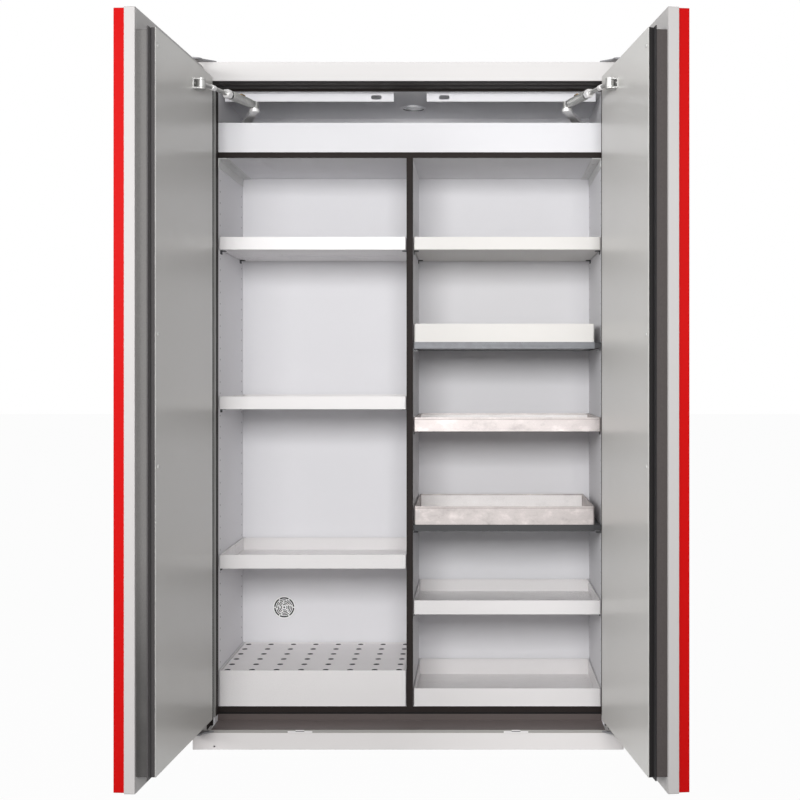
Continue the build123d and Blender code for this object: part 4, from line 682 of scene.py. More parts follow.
class Fitting:
    """Mesh of small parts that share a body, gathered from turned, cut and swept shapes."""

    def __init__(self, name: str, *finishes: Finish) -> None:
        """Starts an empty mesh.

        Args:
            name: the object's name.
            finishes: its finishes; shapes pick one by its place in this list.
        """
        self.name = name
        self.finishes = finishes
        self.mesh = bmesh.new()

    def points(self, outline: Iterable[tuple[float, float]], height: float,
               frame: Matrix) -> list[bmesh.types.BMVert]:
        """New points of an outline, at a height in a frame."""
        return [self.mesh.verts.new(frame @ Vector((x, y, height))) for x, y in outline]

    def ring_faces(self, rings: list[list[bmesh.types.BMVert]], finish: int) -> None:
        """Joins rings of points with faces; a ring of one point closes to a tip.

        Args:
            rings: the rings in order.
            finish: which finish the faces get.
        """
        for lower, upper in zip(rings, rings[1:]):
            count = max(len(lower), len(upper))
            for i in range(count):
                around_face = ((lower, i), (lower, i + 1), (upper, i + 1), (upper, i))
                unique = list(dict.fromkeys(ring[k % len(ring)] for ring, k in around_face))
                if len(unique) > 2:
                    self.mesh.faces.new(unique).material_index = finish

    def turned(self, profile: Sequence[tuple[float, float]], frame: Matrix, sides: int = 20,
               finish: int = 0) -> None:
        """A profile of radii and heights, turned about the frame's Z."""
        rings = [self.points(around(radius, sides if radius > 0 else 1), height, frame)
                 for radius, height in profile]
        self.ring_faces(rings, finish)

    def prism(self, outline: Sequence[tuple[float, float]], low: float, high: float, frame: Matrix,
              finish: int = 0, bevel: float = 0.0) -> None:
        """An outline raised along the frame's Z, with a small chamfer on its upper edge.

        Args:
            outline: points anticlockwise round the middle.
            low: height of the underside.
            high: height of the top.
            frame: where it stands.
            finish: which finish it gets.
            bevel: size of the chamfer.
        """
        centre = Vector((sum(p[0] for p in outline), sum(p[1] for p in outline))) / len(outline)
        inner = [tuple(Vector(p) - (Vector(p) - centre).normalized() * bevel) for p in outline]
        levels = [(outline, low), (outline, high - bevel)]
        if bevel:
            levels.append((inner, high))
        rings = [self.points(points, z, frame) for points, z in levels]
        self.ring_faces(rings, finish)
        self.mesh.faces.new(rings[-1]).material_index = finish
        self.mesh.faces.new(rings[0][::-1]).material_index = finish

    def slab(self, low: Sequence[float], high: Sequence[float], finish: int = 0, bevel: float = 0.0) -> None:
        """A block between its lowest and highest corner, chamfered round its top."""
        outline = rectangle(low[0], low[1], high[0], high[1])
        self.prism(outline, low[2], high[2], Matrix.Identity(4), finish, bevel)

    def tube(self, path: Sequence[Vector], radius: float, sides: int = 10, finish: int = 0,
             closed: bool = False) -> None:
        """A round bar along a path.

        Args:
            path: points along its middle.
            radius: its radius.
            sides: points round it.
            finish: which finish it gets.
            closed: whether the path runs round.
        """
        rings = []
        count = len(path)
        for i, point in enumerate(path):
            before = path[(i - 1) % count] if closed or i else point
            after = path[(i + 1) % count] if closed or i < count - 1 else point
            frame = facing(point, (Vector(after) - Vector(before)).normalized())
            rings.append(self.points(around(radius, sides), 0, frame))
        if closed:
            rings.append(rings[0])
        else:
            self.mesh.faces.new(rings[0][::-1]).material_index = finish
            self.mesh.faces.new(rings[-1]).material_index = finish
        self.ring_faces(rings, finish)

    def screw(self, frame: Matrix, radius: float = 0.0035) -> None:
        """A pan-head screw in the first finish, with a socket in the second.

        Args:
            frame: on the surface, Z outwards.
            radius: of its head.
        """
        height, socket = SCREW_HEIGHT * radius, SOCKET * radius
        head = [(radius * r, height * h) for r, h in SCREW_HEAD]
        self.turned([(radius, -SUNK), *head, (socket, height)], frame)
        floor = SOCKET_FLOOR * height
        self.turned([(socket, height), (socket, floor), (0, floor)], frame, 6, 1)

    def build(self, body: str, turn: Matrix | None = None) -> bpy.types.Object:
        """Makes the object and lets it ride on a body.

        Args:
            body: the body's name.
            turn: from the frame it was laid out in to where it stands.

        Returns:
            The object.
        """
        bmesh.ops.transform(self.mesh, matrix=turn or Matrix.Identity(4), verts=self.mesh.verts)
        bmesh.ops.recalc_face_normals(self.mesh, faces=self.mesh.faces)
        data = bpy.data.meshes.new(self.name)
        self.mesh.to_mesh(data)
        self.mesh.free()
        for finish in self.finishes:
            data.materials.append(finish.material())
        data.polygons.foreach_set("use_smooth", [True] * len(data.polygons))
        data.set_sharp_from_angle(angle=CREASE)
        piece = bpy.data.objects.new(self.name, data)
        bpy.context.scene.collection.objects.link(piece)
        LOG.info("%s: %d faces on %s", self.name, len(data.polygons), body)
        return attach(piece, body)


@dataclass(frozen=True)
class Joint:
    """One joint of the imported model."""

    place: Vector
    axis: Vector
    low: float

    @classmethod
    def named(cls, joints: Iterable[dict], name: str) -> "Joint":
        """Reads a joint."""
        found = next(joint for joint in joints if joint["name"] == name)
        return cls(Vector(found["pos_m"]), Vector(found["axis"]), math.radians(found["range_deg"][0]))

    def from_shut(self) -> Matrix:
        """From the frame in which this joint stands at its lowest to the frame at rest."""
        there = Matrix.Translation(self.place)
        return there @ Matrix.Rotation(-self.low, 4, self.axis) @ there.inverted()


def reach(node: str, joints_turn: Matrix) -> tuple[Vector, Vector]:
    """Lowest and highest corner of a node once it is turned."""
    points = [joints_turn @ v.co for v in bpy.data.objects[node].data.vertices]
    return tuple(Vector(pick(p[i] for p in points) for i in range(3)) for pick in (min, max))


# ---- fittings of the body ----------------------------------------------------------------------------
@dataclass
class PinHoles:
    """Two columns of shelf-pin holes on each upright face of the interior."""

    pitch: float = 0.032
    radius: float = 0.0025
    rim: float = 0.0007
    first: float = 0.150
    last: float = 1.620
    from_front: float = 0.0265
    from_back: float = 0.0195
    partition: float = 0.0092
    ridge: float = 0.00025
    edge: float = 0.0002
    shade: Profile = ((0.9, 0.00012), (0, 0.0001))

    def build(self) -> None:
        """Sleeves of all the holes as one piece."""
        low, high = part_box("interior_boards")
        shelf_low, shelf_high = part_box("shelf_left_upper")
        holes = Fitting("shelf_pin_holes", HOLE_DARK, LINING)
        columns = (shelf_low.y + self.from_front, shelf_high.y - self.from_back)
        for x, way in ((low.x, 1), (-self.partition, -1), (self.partition, 1), (high.x, -1)):
            for y in columns:
                for i in range(int((self.last - self.first) / self.pitch) + 1):
                    frame = facing((x, y, self.first + i * self.pitch), (way, 0, 0))
                    holes.turned([(self.radius + self.rim, 0.0), (self.radius + self.rim / 2, self.ridge),
                                  (self.radius, self.edge)], frame, 14, 1)
                    holes.turned([(self.radius, self.edge), *((self.radius * r, h) for r, h in self.shade)],
                                 frame, 14)
        holes.build("cabinet")


@dataclass
class SheetScrews:
    """Screws round the edges of the back and top sheets and along the corner rails."""

    margin: float = 0.014
    front_margin: float = 0.056
    spacing: float = 0.155

    def rows(self, low: float, high: float) -> list[float]:
        """Evenly spread places along an edge."""
        count = max(2, round((high - low) / self.spacing))
        return [low + (high - low) * i / count for i in range(count + 1)]

    def build(self) -> None:
        """Rows of screws on the sheets that carry them."""
        low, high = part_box("casing_back")
        screws = Fitting("sheet_screws", CASING_GREY, HOLE_DARK)
        sides = (low.x + self.margin, high.x - self.margin)
        heights = (low.z + self.margin, high.z - self.margin)
        spots = [(x, z) for x in sides for z in self.rows(*heights)]
        spots += [(x, z) for x in self.rows(*sides)[1:-1] for z in heights]
        for x, z in spots:
            screws.screw(facing((x, high.y, z), (0, 1, 0)))
        low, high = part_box("casing_top")
        for x in (low.x + self.margin, high.x - self.margin):
            for y in self.rows(low.y + self.front_margin, high.y - self.margin):
                screws.screw(facing((x, y, high.z), (0, 0, 1)))
        screws.build("cabinet")


@dataclass
class RoundOpenings:
    """Lip round the exhaust opening with a black ring as painted shade in its groove, and the rim of the
    round grille with a black disc as painted shade in its duct.
    """

    lip_radius: float = 0.0335
    lip_wire: float = 0.0022
    groove: float = 0.0010
    rim: tuple[float, float] = (0.0318, 0.0354)
    rise: float = 0.0010
    duct_radius: float = 0.0316
    duct_depth: float = 0.0004
    sides: int = 48

    def build(self) -> None:
        """Rolled lip above, rim and the duct's painted shade below."""
        self.exhaust()
        self.grille()

    def exhaust(self) -> None:
        """A rolled lip under the collar, with a black ring inside it as painted shade in the groove."""
        low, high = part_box("exhaust_collar")
        centre = (low + high) / 2
        lip = Fitting("exhaust_lip", COLLAR_STEEL, BEAD_BLACK)
        for radius, wire, finish in ((self.lip_radius, self.lip_wire, 0),
                                     (self.lip_radius - self.lip_wire - self.groove, self.groove, 1)):
            lip.tube([Vector((centre.x + x, centre.y + y, low.z - wire / 2))
                      for x, y in around(radius, self.sides)], wire, 8, finish, closed=True)
        lip.build("cabinet")

    def grille(self) -> None:
        """A turned rim over the plate's edge and a black disc behind its slots, painted shade in the duct."""
        low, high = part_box("vent_grille")
        centre = (low + high) / 2
        frame = facing((centre.x, low.y, centre.z), (0, -1, 0))
        inner, outer = self.rim
        bevel = self.rise / 2
        rim = Fitting("grille_rim", GRILLE_WHITE, BEAD_BLACK)
        rim.turned([(outer, -self.rise), (outer, bevel), (outer - bevel, self.rise),
                    (inner + bevel, self.rise), (inner, bevel), (inner, -self.rise / 2)], frame, self.sides)
        rim.turned([(self.duct_radius, -self.duct_depth), (0, -self.duct_depth)], frame, self.sides, 1)
        rim.build("cabinet")


@dataclass
class DrainHoles:
    """Painted shade at the drain holes of the perforated insert: black rings and black discs."""

    pitch: float = 0.070
    hole: float = 0.0064
    rim: float = 0.0086
    rise: float = 0.0003
    depth: float = 0.0011

    def build(self) -> None:
        """A black ring of painted shade round every hole and a black disc of painted shade inside it."""
        low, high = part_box("perforated_insert")
        centre = (low + high) / 2
        columns, rows = (int((high[i] - low[i]) // self.pitch) + 1 for i in (0, 1))
        holes = Fitting("drain_hole_shade", BEAD_BLACK)
        for column in range(columns):
            for row in range(rows):
                x = centre.x + (column - (columns - 1) / 2) * self.pitch
                y = centre.y + (row - (rows - 1) / 2) * self.pitch
                frame = Matrix.Translation((x, y, high.z))
                holes.turned([(self.rim, 0.0), (self.rim - self.rise, self.rise), (self.hole, self.rise),
                              (self.hole, -self.depth), (0, -self.depth)], frame, 18)
        holes.build("cabinet")


@dataclass
class OpeningTrim:
    """Gaskets under the head, the sill's faces and the edging of the side linings."""

    gasket_depths: tuple[float, ...] = (0.006, 0.051)
    gasket: tuple[float, float] = (0.0030, 0.0022)
    strip: float = 0.041
    head: float = 1.846
    head_cover: float = 0.0022
    sill_floor: float = 0.055
    sill_rise: float = 0.019
    sill_front: float = -0.2818
    sill_back: float = -0.1847
    skin: float = 0.0003
    bead: float = 0.0013
    bead_height: float = 0.0039
    ledge: float = 0.0050
    edging: tuple[float, float] = (0.0041, 0.0160)

    def build(self) -> None:
        """Each of the three in turn."""
        self.gaskets()
        self.sill()
        self.edgings()

    def gaskets(self) -> None:
        """Dark beads along the head."""
        low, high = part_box("opening_seals")
        left, right = low.x + self.bead, high.x - self.bead
        width, drop = self.gasket
        under = self.head - self.head_cover
        gaskets = Fitting("head_gaskets", BEAD_BLACK, LAMINATE)
        for depth in self.gasket_depths:
            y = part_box("casing_top")[0].y + depth
            gaskets.slab((left, y - width, under - drop), (right, y + width, self.head - self.bead))
            gaskets.slab((left, y + width, under - 2 * self.skin), (right, y + self.strip, self.head), 1)
        gaskets.build("cabinet")

    def sill(self) -> None:
        """Laminate on the rebate floor, painted lighter as lit from above, and on its riser, painted darker
        as shade, and a bead along the riser's top.
        """
        skin, front, back, floor = self.skin, self.sill_front, self.sill_back, self.sill_floor
        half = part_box("interior_boards")[1].x - skin
        top = floor + self.sill_rise
        sill = Fitting("sill_faces", SILL_FLOOR, SILL_FACE, BEAD_BLACK)
        sill.slab((-half, front, floor - skin), (half, back, floor + skin))
        sill.slab((-half, back - skin, floor + skin), (half, back + skin, top), 1)
        sill.slab((-half, back - 2 * skin, top - skin), (half, back + self.ledge, top + self.bead_height), 2)
        sill.build("cabinet")

    def edgings(self) -> None:
        """Grey edging round the front corner of each side lining."""
        low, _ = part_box("lining_panels")
        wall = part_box("interior_boards")[1].x
        width, depth = self.edging
        edgings = Fitting("lining_edgings", EDGING_GREY)
        bottom = self.sill_floor + self.sill_rise + self.bead
        top = self.head - 4 * self.head_cover
        for way in (-1, 1):
            near, far = sorted((way * (wall - self.skin), way * (wall + width - self.skin)))
            edgings.slab((near, low.y - self.skin, bottom), (far, low.y + depth, top))
        edgings.build("cabinet")


@dataclass
class TraySeams:
    """Mitre seams on the rolled rims of trays, shelves and sumps; painted hem shade and inner-wall reflection
    on the steel ones.
    """

    width: float = 0.0005
    length: float = 0.0085
    mitre: float = 0.9 * math.sqrt(2)
    start: float = 0.0012
    sunk: float = 0.0003
    rise: float = 0.0001
    lap: float = 0.0002
    nodes: tuple[str, ...] = ("shelf_left_upper", "shelf_left_middle", "tray_shelf_left", "shelf_right_upper",
                              "tray_right_steel", "tray_shelf_right", "sump_left", "sump_right")
    moving: tuple[str, ...] = ("drawer_upper", "drawer_lower")
    steel: tuple[str, ...] = ("tray_right_steel", "drawer_lower_tray")
    groove: tuple[float, float] = (0.0042, 0.0016)
    sheet: float = 0.0015
    corner: float = 0.0045

    def build(self) -> None:
        """One piece for the fixed trays and one for each drawer."""
        self.seams("tray_seams", "cabinet", self.nodes)
        for body in self.moving:
            self.seams(f"{body}_seams", body, (f"{body}_tray",))

    def seams(self, name: str, body: str, nodes: Iterable[str]) -> None:
        """Dark lines at the four corners of each rim; on steel trays, painted shade under the hem and a
        painted reflection inside.

        Args:
            name: the piece's name.
            body: what it rides on.
            nodes: the trays.
        """
        seams = Fitting(name, HOLE_DARK, STEEL_GROOVE, STEEL_BRIGHT)
        half = self.width / 2
        line = rectangle(self.start, -half, self.length * self.mitre, half)
        for node in nodes:
            low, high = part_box(node)
            for x, way_x in ((low.x, 1), (high.x, -1)):
                for y, way_y in ((low.y, 1), (high.y, -1)):
                    turn = math.atan2(way_y, way_x)
                    frame = Matrix.Translation((x, y, high.z)) @ Matrix.Rotation(turn, 4, "Z")
                    seams.prism(line, -self.sunk, self.rise, frame)
            if node in self.steel:
                # darker stainless band under the hem: painted shade
                top = high.z - self.groove[0]
                base = top - self.groove[1]
                seams.slab((low.x, low.y - self.lap, base), (high.x, low.y + self.lap, top), 1)
                # lighter stainless on the inside back wall: painted reflection
                inner = high.y - self.sheet
                seams.slab((low.x + self.corner, inner - self.width, low.z + self.sheet),
                           (high.x - self.corner, inner + self.width, top), 2)
        seams.build(body)


@dataclass
class PlinthLip:
    """Painted shade along the front edge of the base pan, broken by two slotted tabs."""

    places: tuple[float, ...] = (-0.298, 0.298)
    height: float = 0.0080
    proud: float = 0.0004
    tab: tuple[float, float] = (0.068, 0.0048)
    slot: tuple[float, float] = (0.024, 0.0020)
    slot_drop: float = 0.0026

    def build(self) -> None:
        """The lip's painted shade, and both tabs with their slots and a painted highlight above each slot."""
        low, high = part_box("base_pan")
        lip = Fitting("plinth_lip", LIP_GREY, SHELF_WHITE, HOLE_DARK)
        face, top = low.y, low.z + self.height
        # grey strip: painted shade on the lip
        lip.slab((low.x, face - self.proud, low.z), (high.x, face + self.proud, top))
        for x in self.places:
            half, height = self.tab[0] / 2, self.tab[1]
            lip.slab((x - half, face - 3 * self.proud, low.z), (x + half, face + self.proud, low.z + height),
                     1, self.proud)
            half, height = self.slot[0] / 2, self.slot[1]
            base = top - self.slot_drop - height
            lip.slab((x - half, face - 4 * self.proud, base), (x + half, face, base + height), 2)
            # white strip above each slot: painted highlight
            lip.slab((x - half, face - 4 * self.proud, base + height), (x + half, face, top), 1)
        lip.build("cabinet")


# ---- fittings of the doors and drawers ---------------------------------------------------------------
@dataclass
class Closer:
    """Fittings on one door's closer: spindle cap, elbow clip, ribbed sleeve, brass catch, nut and screws."""

    side: str
    joints: Sequence[dict]
    rib_pitch: float = 0.0090
    rib_rise: float = 0.0006
    rib_offset: float = 0.15
    rib_share: float = 0.68
    sleeve: tuple[float, float] = (0.026, 0.140)
    sleeve_radius: float = 0.0107
    bore_radius: float = 0.0105
    front_eye: float = 0.285
    sleeve_lift: float = 0.0005
    catch: float = 0.070
    catch_size: tuple[float, float, float] = (0.0100, 0.0046, 0.0032)
    nut: tuple[float, float] = (0.141, 0.160)
    nut_radius: float = 0.0124
    rod_radius: float = 0.0055
    collar: tuple[float, float] = (0.220, 0.238)
    cap: Profile = ((0.0125, -0.0002), (0.0125, 0.0014), (0.0115, 0.0018), (0.0078, 0.0018))
    cap_screw: float = 0.0085
    cap_screw_lift: float = 0.0029
    pin: Profile = ((0.0041, -0.0006), (0.0041, 0.0004), (0.0034, 0.0010), (0, 0.0010))
    washer: Profile = ((0.0062, -0.0021), (0.0062, -0.0012), (0.0043, -0.0012), (0.0043, -0.0021))
    fork_pin: Profile = ((0.0058, -0.0022), (0.0058, -0.0006), (0.0048, 0.0002), (0.0022, 0.0002),
                         (0.0022, -0.0006), (0, -0.0006))
    fork_pin_setback: float = 0.012
    foot: tuple[float, float, float] = (0.0055, 0.003, -0.001)

    def build(self) -> None:
        """Fittings of each moving piece in turn."""
        self.arm()
        self.forearm()
        self.bracket()

    def arm(self) -> None:
        """Socket cap on the spindle and a washer under the elbow's eye."""
        spindle = Joint.named(self.joints, f"closer_spindle_{self.side}").place
        elbow = Joint.named(self.joints, f"closer_elbow_{self.side}").place
        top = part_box(f"closer_arm_{self.side}")[1].z
        cap = Fitting(f"arm_caps_{self.side}", ZINC, DARK_STEEL)
        cap.turned(self.cap, Matrix.Translation(spindle), 28)
        cap.screw(Matrix.Translation((spindle.x, spindle.y, spindle.z + self.cap_screw_lift)), self.cap_screw)
        pin = Matrix.Translation((elbow.x, elbow.y, top))
        cap.turned(self.pin, pin, 24)
        cap.turned(self.washer, pin, 24, 1)
        cap.build(f"arm_{self.side}")

    def forearm(self) -> None:
        """Ribbed sleeve with its brass catch, the nut behind it and a collar on the rod."""
        node = f"closer_forearm_{self.side}"
        elbow = Joint.named(self.joints, f"closer_elbow_{self.side}").place
        points = [v.co for v in bpy.data.objects[node].data.vertices]
        far = [p for p in points if (p - elbow).length > self.front_eye]
        eye = sum(far, Vector()) / len(far)
        way = Vector((eye.x - elbow.x, eye.y - elbow.y, 0)).normalized()
        axis = Vector((elbow.x, elbow.y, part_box(node)[0].z + self.sleeve_lift + self.bore_radius))
        line = facing(axis, way)
        fitting = Fitting(f"forearm_fittings_{self.side}", ZINC, ZINC_BRIGHT, BRASS, DARK_STEEL)
        start, stop = self.sleeve
        r, rod, rise = self.sleeve_radius, self.rod_radius, self.rib_rise
        # the sleeve's core takes the dark steel, so the gaps between the zinc ribs show as painted shade
        fitting.turned([(rod, start), (r, start), (r, stop), (rod, stop)], line, 28, 3)
        for i in range(int((stop - start) / self.rib_pitch)):
            at = start + (i + self.rib_offset) * self.rib_pitch
            end = at + self.rib_share * self.rib_pitch
            fitting.turned([(r - rise, at), (r + rise, at), (r + 2 * rise, at + rise),
                            (r + 2 * rise, end - rise), (r + rise, end), (r - rise, end)], line, 28)
        fitting.prism(around(self.nut_radius, 6), *self.nut, line, 1, rise)
        long, wide, high = self.catch_size
        turn = Matrix.Rotation(math.atan2(way.y, way.x), 4, "Z")
        tab = Matrix.Translation(axis + way * self.catch + Vector((0, 0, r + rise))) @ turn
        fitting.prism(rectangle(-long, -wide, long, wide), -rise, high, tab, 2, rise)
        fitting.prism(rectangle(-long / 2, -wide / 2, long / 2, wide / 2), high, high + rise, tab, 3)
        low, top = self.collar
        ring = rod + 3 * rise
        fitting.turned([(rod, low), (ring, low + rise), (ring, top - rise), (rod, top)], line, 24, 1)
        fitting.build(f"forearm_{self.side}")

    def bracket(self) -> None:
        """Cap on the fork's pin and two screws in its foot."""
        node = f"door_{self.side}_closer_bracket"
        turn = Joint.named(self.joints, f"door_{self.side}_hinge").from_shut()
        low, high = reach(node, turn.inverted())
        centre = (low + high) / 2
        fitting = Fitting(f"bracket_fittings_{self.side}", ZINC, DARK_STEEL)
        pin = Matrix.Translation((centre.x, high.y - self.fork_pin_setback, high.z))
        fitting.turned(self.fork_pin, pin, 24)
        inset, lift, rise = self.foot
        for x in (low.x + inset, high.x - inset):
            fitting.screw(facing((x, low.y + lift, centre.z + rise), (0, 1, 0)))
        fitting.build(f"door_{self.side}", turn)


@dataclass
class HingeFittings:
    """Screws through the hinge brackets and caps on their pins."""

    joints: Sequence[dict]
    screw_radius: float = 0.0042
    places: tuple[float, ...] = (0.020, 0.046)
    setback: float = 0.022
    cap: Profile = ((0.0078, -0.0002), (0.0078, 0.0010), (0.0060, 0.0020), (0, 0.0020))

    def build(self) -> None:
        """Fittings of the upper brackets as one piece."""
        _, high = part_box("hinge_brackets")
        fitting = Fitting("hinge_fittings", DARK_STEEL, HOLE_DARK)
        for side in SIDES:
            place = Joint.named(self.joints, f"door_{side}_hinge").place
            inward = -math.copysign(1.0, place.x)
            for x in self.places:
                spot = (place.x + inward * x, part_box("casing_sides")[0].y + self.setback, high.z)
                fitting.screw(Matrix.Translation(spot), self.screw_radius)
            fitting.turned(self.cap, Matrix.Translation((place.x, place.y, high.z)), 28)
        fitting.build("cabinet")


@dataclass
class HandleFittings:
    """Screws of the pull cup, ribs of the lever and the ring round the lock."""

    joints: Sequence[dict]
    rib_count: int = 7
    rib_pitch: float = 0.0055
    rib_start: float = 0.006
    rib_radius: float = 0.0009
    rib_lift: float = 0.0001
    rib_share: float = 0.30
    screw_inset: float = 0.0042
    screw_radius: float = 0.0026
    ring: Profile = ((1.0, 0.0), (1.0, 0.0009), (0.92, 0.0014), (0.74, 0.0014), (0.68, 0.0006))

    def build(self) -> None:
        """Fittings of the cup, the lock and the lever."""
        turn = Joint.named(self.joints, "door_right_hinge").from_shut()
        back = turn.inverted()
        low, high = reach("handle_cup", back)
        centre = (low + high) / 2
        cup = Fitting("cup_fittings", PLASTIC_BLACK, HOLE_DARK)
        for z in (low.z + self.screw_inset, high.z - self.screw_inset):
            cup.screw(facing((centre.x, low.y, z), (0, -1, 0)), self.screw_radius)
        cup.build("door_right", turn)
        low, high = reach("lock_cylinder", back)
        centre = (low + high) / 2
        ring = Fitting("lock_ring", ZINC, DARK_STEEL)
        radius = (high.x - low.x) / 2
        ring.turned([(radius * share, height) for share, height in self.ring],
                    facing((centre.x, low.y, centre.z), (0, -1, 0)), 36)
        ring.build("door_right", turn)
        low, high = reach("handle_lever", back)
        centre = (low + high) / 2
        grip = Fitting("lever_ribs", PLASTIC_GREY)
        half = (high.x - low.x) * self.rib_share
        for i in range(self.rib_count):
            z = low.z + self.rib_start + i * self.rib_pitch
            grip.tube([Vector((centre.x + way * half, low.y + self.rib_lift, z)) for way in (-1, 0, 1)],
                      self.rib_radius, 8)
        grip.build("lever", turn)


@dataclass
class DoorTrim:
    """Rivets and the dark cover strip along the margins of one door's inner faces."""

    side: str
    joints: Sequence[dict]
    cover_finish: Finish
    spacing: float = 0.30
    cover: float = 0.0004
    cover_ends: float = 0.001
    end_margin: float = 0.03
    side_margin: float = 0.012
    rivet: Profile = ((0.0034, 0.0), (0.0030, 0.0005), (0.0022, 0.0007), (0, 0.0007))

    def build(self) -> None:
        """Small flush rivets on the panel's margin and a strip over the board edge beside it."""
        turn = Joint.named(self.joints, f"door_{self.side}_hinge").from_shut()
        low, high = reach(f"door_{self.side}_inner_panel", turn.inverted())
        _, fin_high = reach(f"door_{self.side}_fin", turn.inverted())
        trim = Fitting(f"door_trim_{self.side}", PANEL_GREY, self.cover_finish)
        edge, out = (low.x, -1) if self.side == "right" else (high.x, 1)
        near, far = sorted((edge, edge + out * self.cover))
        trim.slab((near, fin_high.y, low.z + self.cover_ends), (far, low.y, high.z - self.cover_ends), 1)
        count = round((high.z - low.z) / self.spacing)
        for i in range(count + 1):
            z = low.z + self.end_margin + (high.z - low.z - 2 * self.end_margin) * i / count
            for x in (low.x + self.side_margin, high.x - self.side_margin):
                trim.turned(self.rivet, facing((x, high.y, z), (0, 1, 0)), 16)
        trim.build(f"door_{self.side}", turn)


@dataclass
class RunnerFittings:
    """Front hangers of the drawers' runners, seen as slivers under both ends of each carrier."""

    size: tuple[float, float, float] = (0.013, 0.030, 0.0012)
    drop: float = 0.0045
    overlap: float = 0.0010
    setback: float = 0.0040
    pin_from_front: float = 0.0100
    pin: Profile = ((0.0022, -0.0002), (0.0022, 0.0010), (0.0012, 0.0016), (0, 0.0016))

    def build(self) -> None:
        """An angle under each end of both carriers, with its pin."""
        runner_low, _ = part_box("drawer_runners")
        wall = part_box("interior_boards")[1].x
        hangers = Fitting("runner_hangers", BRACKET_STEEL, ZINC)
        width, depth, sheet = self.size
        for node in ("drawer_upper_carrier", "drawer_lower_carrier"):
            low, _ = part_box(node)
            front = low.y + self.setback
            base = low.z - self.drop
            for near, way in ((runner_low.x, 1), (wall, -1)):
                left, right = sorted((near, near + way * width))
                hangers.slab((left, front, base - sheet), (right, front + depth, base), 0, sheet / 3)
                left, right = sorted((near, near + way * sheet))
                hangers.slab((left, front, base), (right, front + depth, low.z + self.overlap))
                pin = facing((near + way * width / 2, low.y + self.pin_from_front, base - sheet), (0, 0, -1))
                hangers.turned(self.pin, pin, 16, 1)
        hangers.build("cabinet")


# ---- the room ----------------------------------------------------------------------------------------
@dataclass(frozen=True)
class SoftBox:
    """One soft lamp."""

    name: str
    place: Point
    target: Point
    size: tuple[float, float]
    power: float
    in_gloss: bool = True

    def build(self) -> None:
        """Hangs the lamp and turns it to its target."""
        data = bpy.data.lights.new(self.name, "AREA")
        data.shape = "RECTANGLE"
        data.size, data.size_y = self.size
        data.energy = self.power
        lamp = bpy.data.objects.new(self.name, data)
        bpy.context.scene.collection.objects.link(lamp)
        lamp.location = self.place
        lamp.visible_camera = False
        lamp.visible_glossy = self.in_gloss
        lamp.rotation_euler = (Vector(self.target) - Vector(self.place)).to_track_quat("-Z", "Y").to_euler()


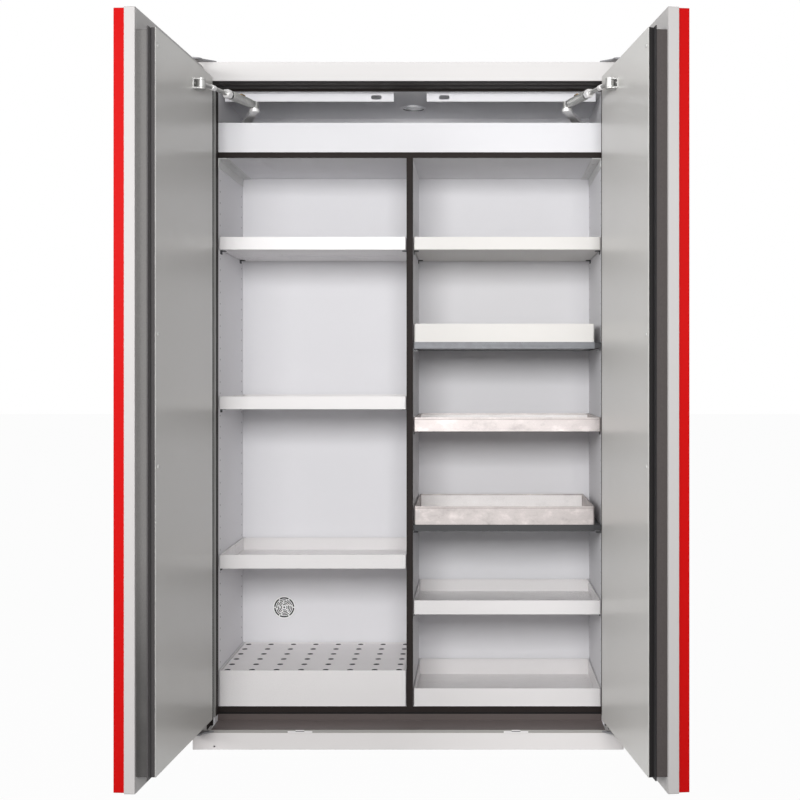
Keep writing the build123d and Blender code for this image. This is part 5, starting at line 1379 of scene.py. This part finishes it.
@dataclass
class Studio:
    """Pale floor, white surroundings, soft lamps and the camera."""

    camera_place: Point = (0.1822, -3.8825, 1.037)
    lens: float = 58.7
    shift: tuple[float, float] = (-0.0925, -0.0325)
    floor_size: float = 60.0
    ambient: float = 0.215
    floor_tone: float = 0.38
    floor_white: float = 0.97
    lamps: tuple[SoftBox, ...] = (
        SoftBox("lamp_front", (-0.1, -4.1, 1.75), (0.0, 0.0, 1.55), (1.9, 0.9), 112.0),
        SoftBox("lamp_left", (-3.45, -3.15, 2.0), (0.4, -0.3, 1.3), (1.3, 1.6), 88.0),
        SoftBox("lamp_right", (3.3, -3.3, 2.0), (-0.3, 0.0, 1.2), (1.2, 2.0), 13.0),
        SoftBox("lamp_low", (0.1, -4.6, 0.55), (0.1, 0.0, 1.6), (2.2, 0.6), 6.0, in_gloss=False),
    )

    def build(self) -> None:
        """Makes the floor, the world, the lamps and the camera."""
        self.floor()
        self.surroundings()
        for lamp in self.lamps:
            lamp.build()
        self.camera()
        bpy.context.scene.view_settings.view_transform = "Standard"

    def seen(self, wiring: Wiring) -> Socket:
        """1 where the surroundings are looked at, directly, in a reflection or through glass.

        Args:
            wiring: the tree to lay it out in.

        Returns:
            The mask.
        """
        path = wiring.add("LightPath").outputs
        both = wiring.maths("MAXIMUM", path["Is Camera Ray"], path["Is Glossy Ray"])
        return wiring.maths("MAXIMUM", both, path["Is Transmission Ray"])

    def either(self, wiring: Wiring, mask: Socket, unseen: Node, seen: Node, output: Node) -> None:
        """Mixes two shaders by a mask, into an output's surface.

        Args:
            wiring: the tree they stand in.
            mask: 1 where the second one shows.
            unseen: first shader.
            seen: second shader.
            output: where the mix goes.
        """
        mix = wiring.add("MixShader")
        for socket, value in zip(mix.inputs, (mask, unseen.outputs[0], seen.outputs[0])):
            wiring.join(value, socket)
        wiring.feed(output, Surface=mix.outputs[0])

    def floor(self) -> None:
        """Wide plain floor that stays white and keeps a soft shadow."""
        half = self.floor_size / 2
        mesh = bpy.data.meshes.new("floor")
        mesh.from_pydata([(x, y, 0) for x, y in rectangle(-half, -half, half, half)], [], [(0, 1, 2, 3)])
        floor = bpy.data.objects.new("floor", mesh)
        bpy.context.scene.collection.objects.link(floor)
        material = bpy.data.materials.new("floor_white")
        material.use_nodes = True
        wiring = Wiring(material.node_tree)
        matt = wiring.feed(wiring.add("BsdfDiffuse"), Color=(*[self.floor_tone] * 3, 1.0))
        white = wiring.feed(wiring.add("Emission"), Color=WHITE, Strength=1.0)
        seen = wiring.maths("MULTIPLY", self.seen(wiring), self.floor_white)
        self.either(wiring, seen, matt, white, wiring.add("OutputMaterial"))
        mesh.materials.append(material)

    def surroundings(self) -> None:
        """White where it is seen, and an even soft light elsewhere."""
        world = bpy.data.worlds.new("surroundings")
        bpy.context.scene.world = world
        world.use_nodes = True
        wiring = Wiring(world.node_tree)
        soft = wiring.feed(wiring.add("Background"), Color=WHITE, Strength=self.ambient)
        white = wiring.feed(wiring.add("Background"), Color=WHITE, Strength=1.0)
        self.either(wiring, self.seen(wiring), soft, white, wiring.add("OutputWorld"))

    def camera(self) -> None:
        """Level camera in front of the open cabinet."""
        data = bpy.data.cameras.new("camera")
        data.sensor_width = 36.0
        data.lens = self.lens
        data.shift_x, data.shift_y = self.shift
        camera = bpy.data.objects.new("camera", data)
        bpy.context.scene.collection.objects.link(camera)
        camera.location = self.camera_place
        camera.rotation_euler = (math.pi / 2, 0.0, 0.0)
        bpy.context.scene.camera = camera


def main() -> None:
    """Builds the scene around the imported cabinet."""
    logging.basicConfig(level=logging.INFO, format="%(name)s: %(message)s")
    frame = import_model()
    joints = frame["joints"]
    dress_nodes(frame["nodes"])
    for fittings in (PinHoles(), SheetScrews(), RoundOpenings(), DrainHoles(), OpeningTrim(), TraySeams(),
                     PlinthLip(), RunnerFittings(), HingeFittings(joints), HandleFittings(joints)):
        fittings.build()
    for side in SIDES:
        Closer(side, joints).build()
        DoorTrim(side, joints, COVERS[side]).build()
    Studio().build()


if __name__ == "__main__":
    main()
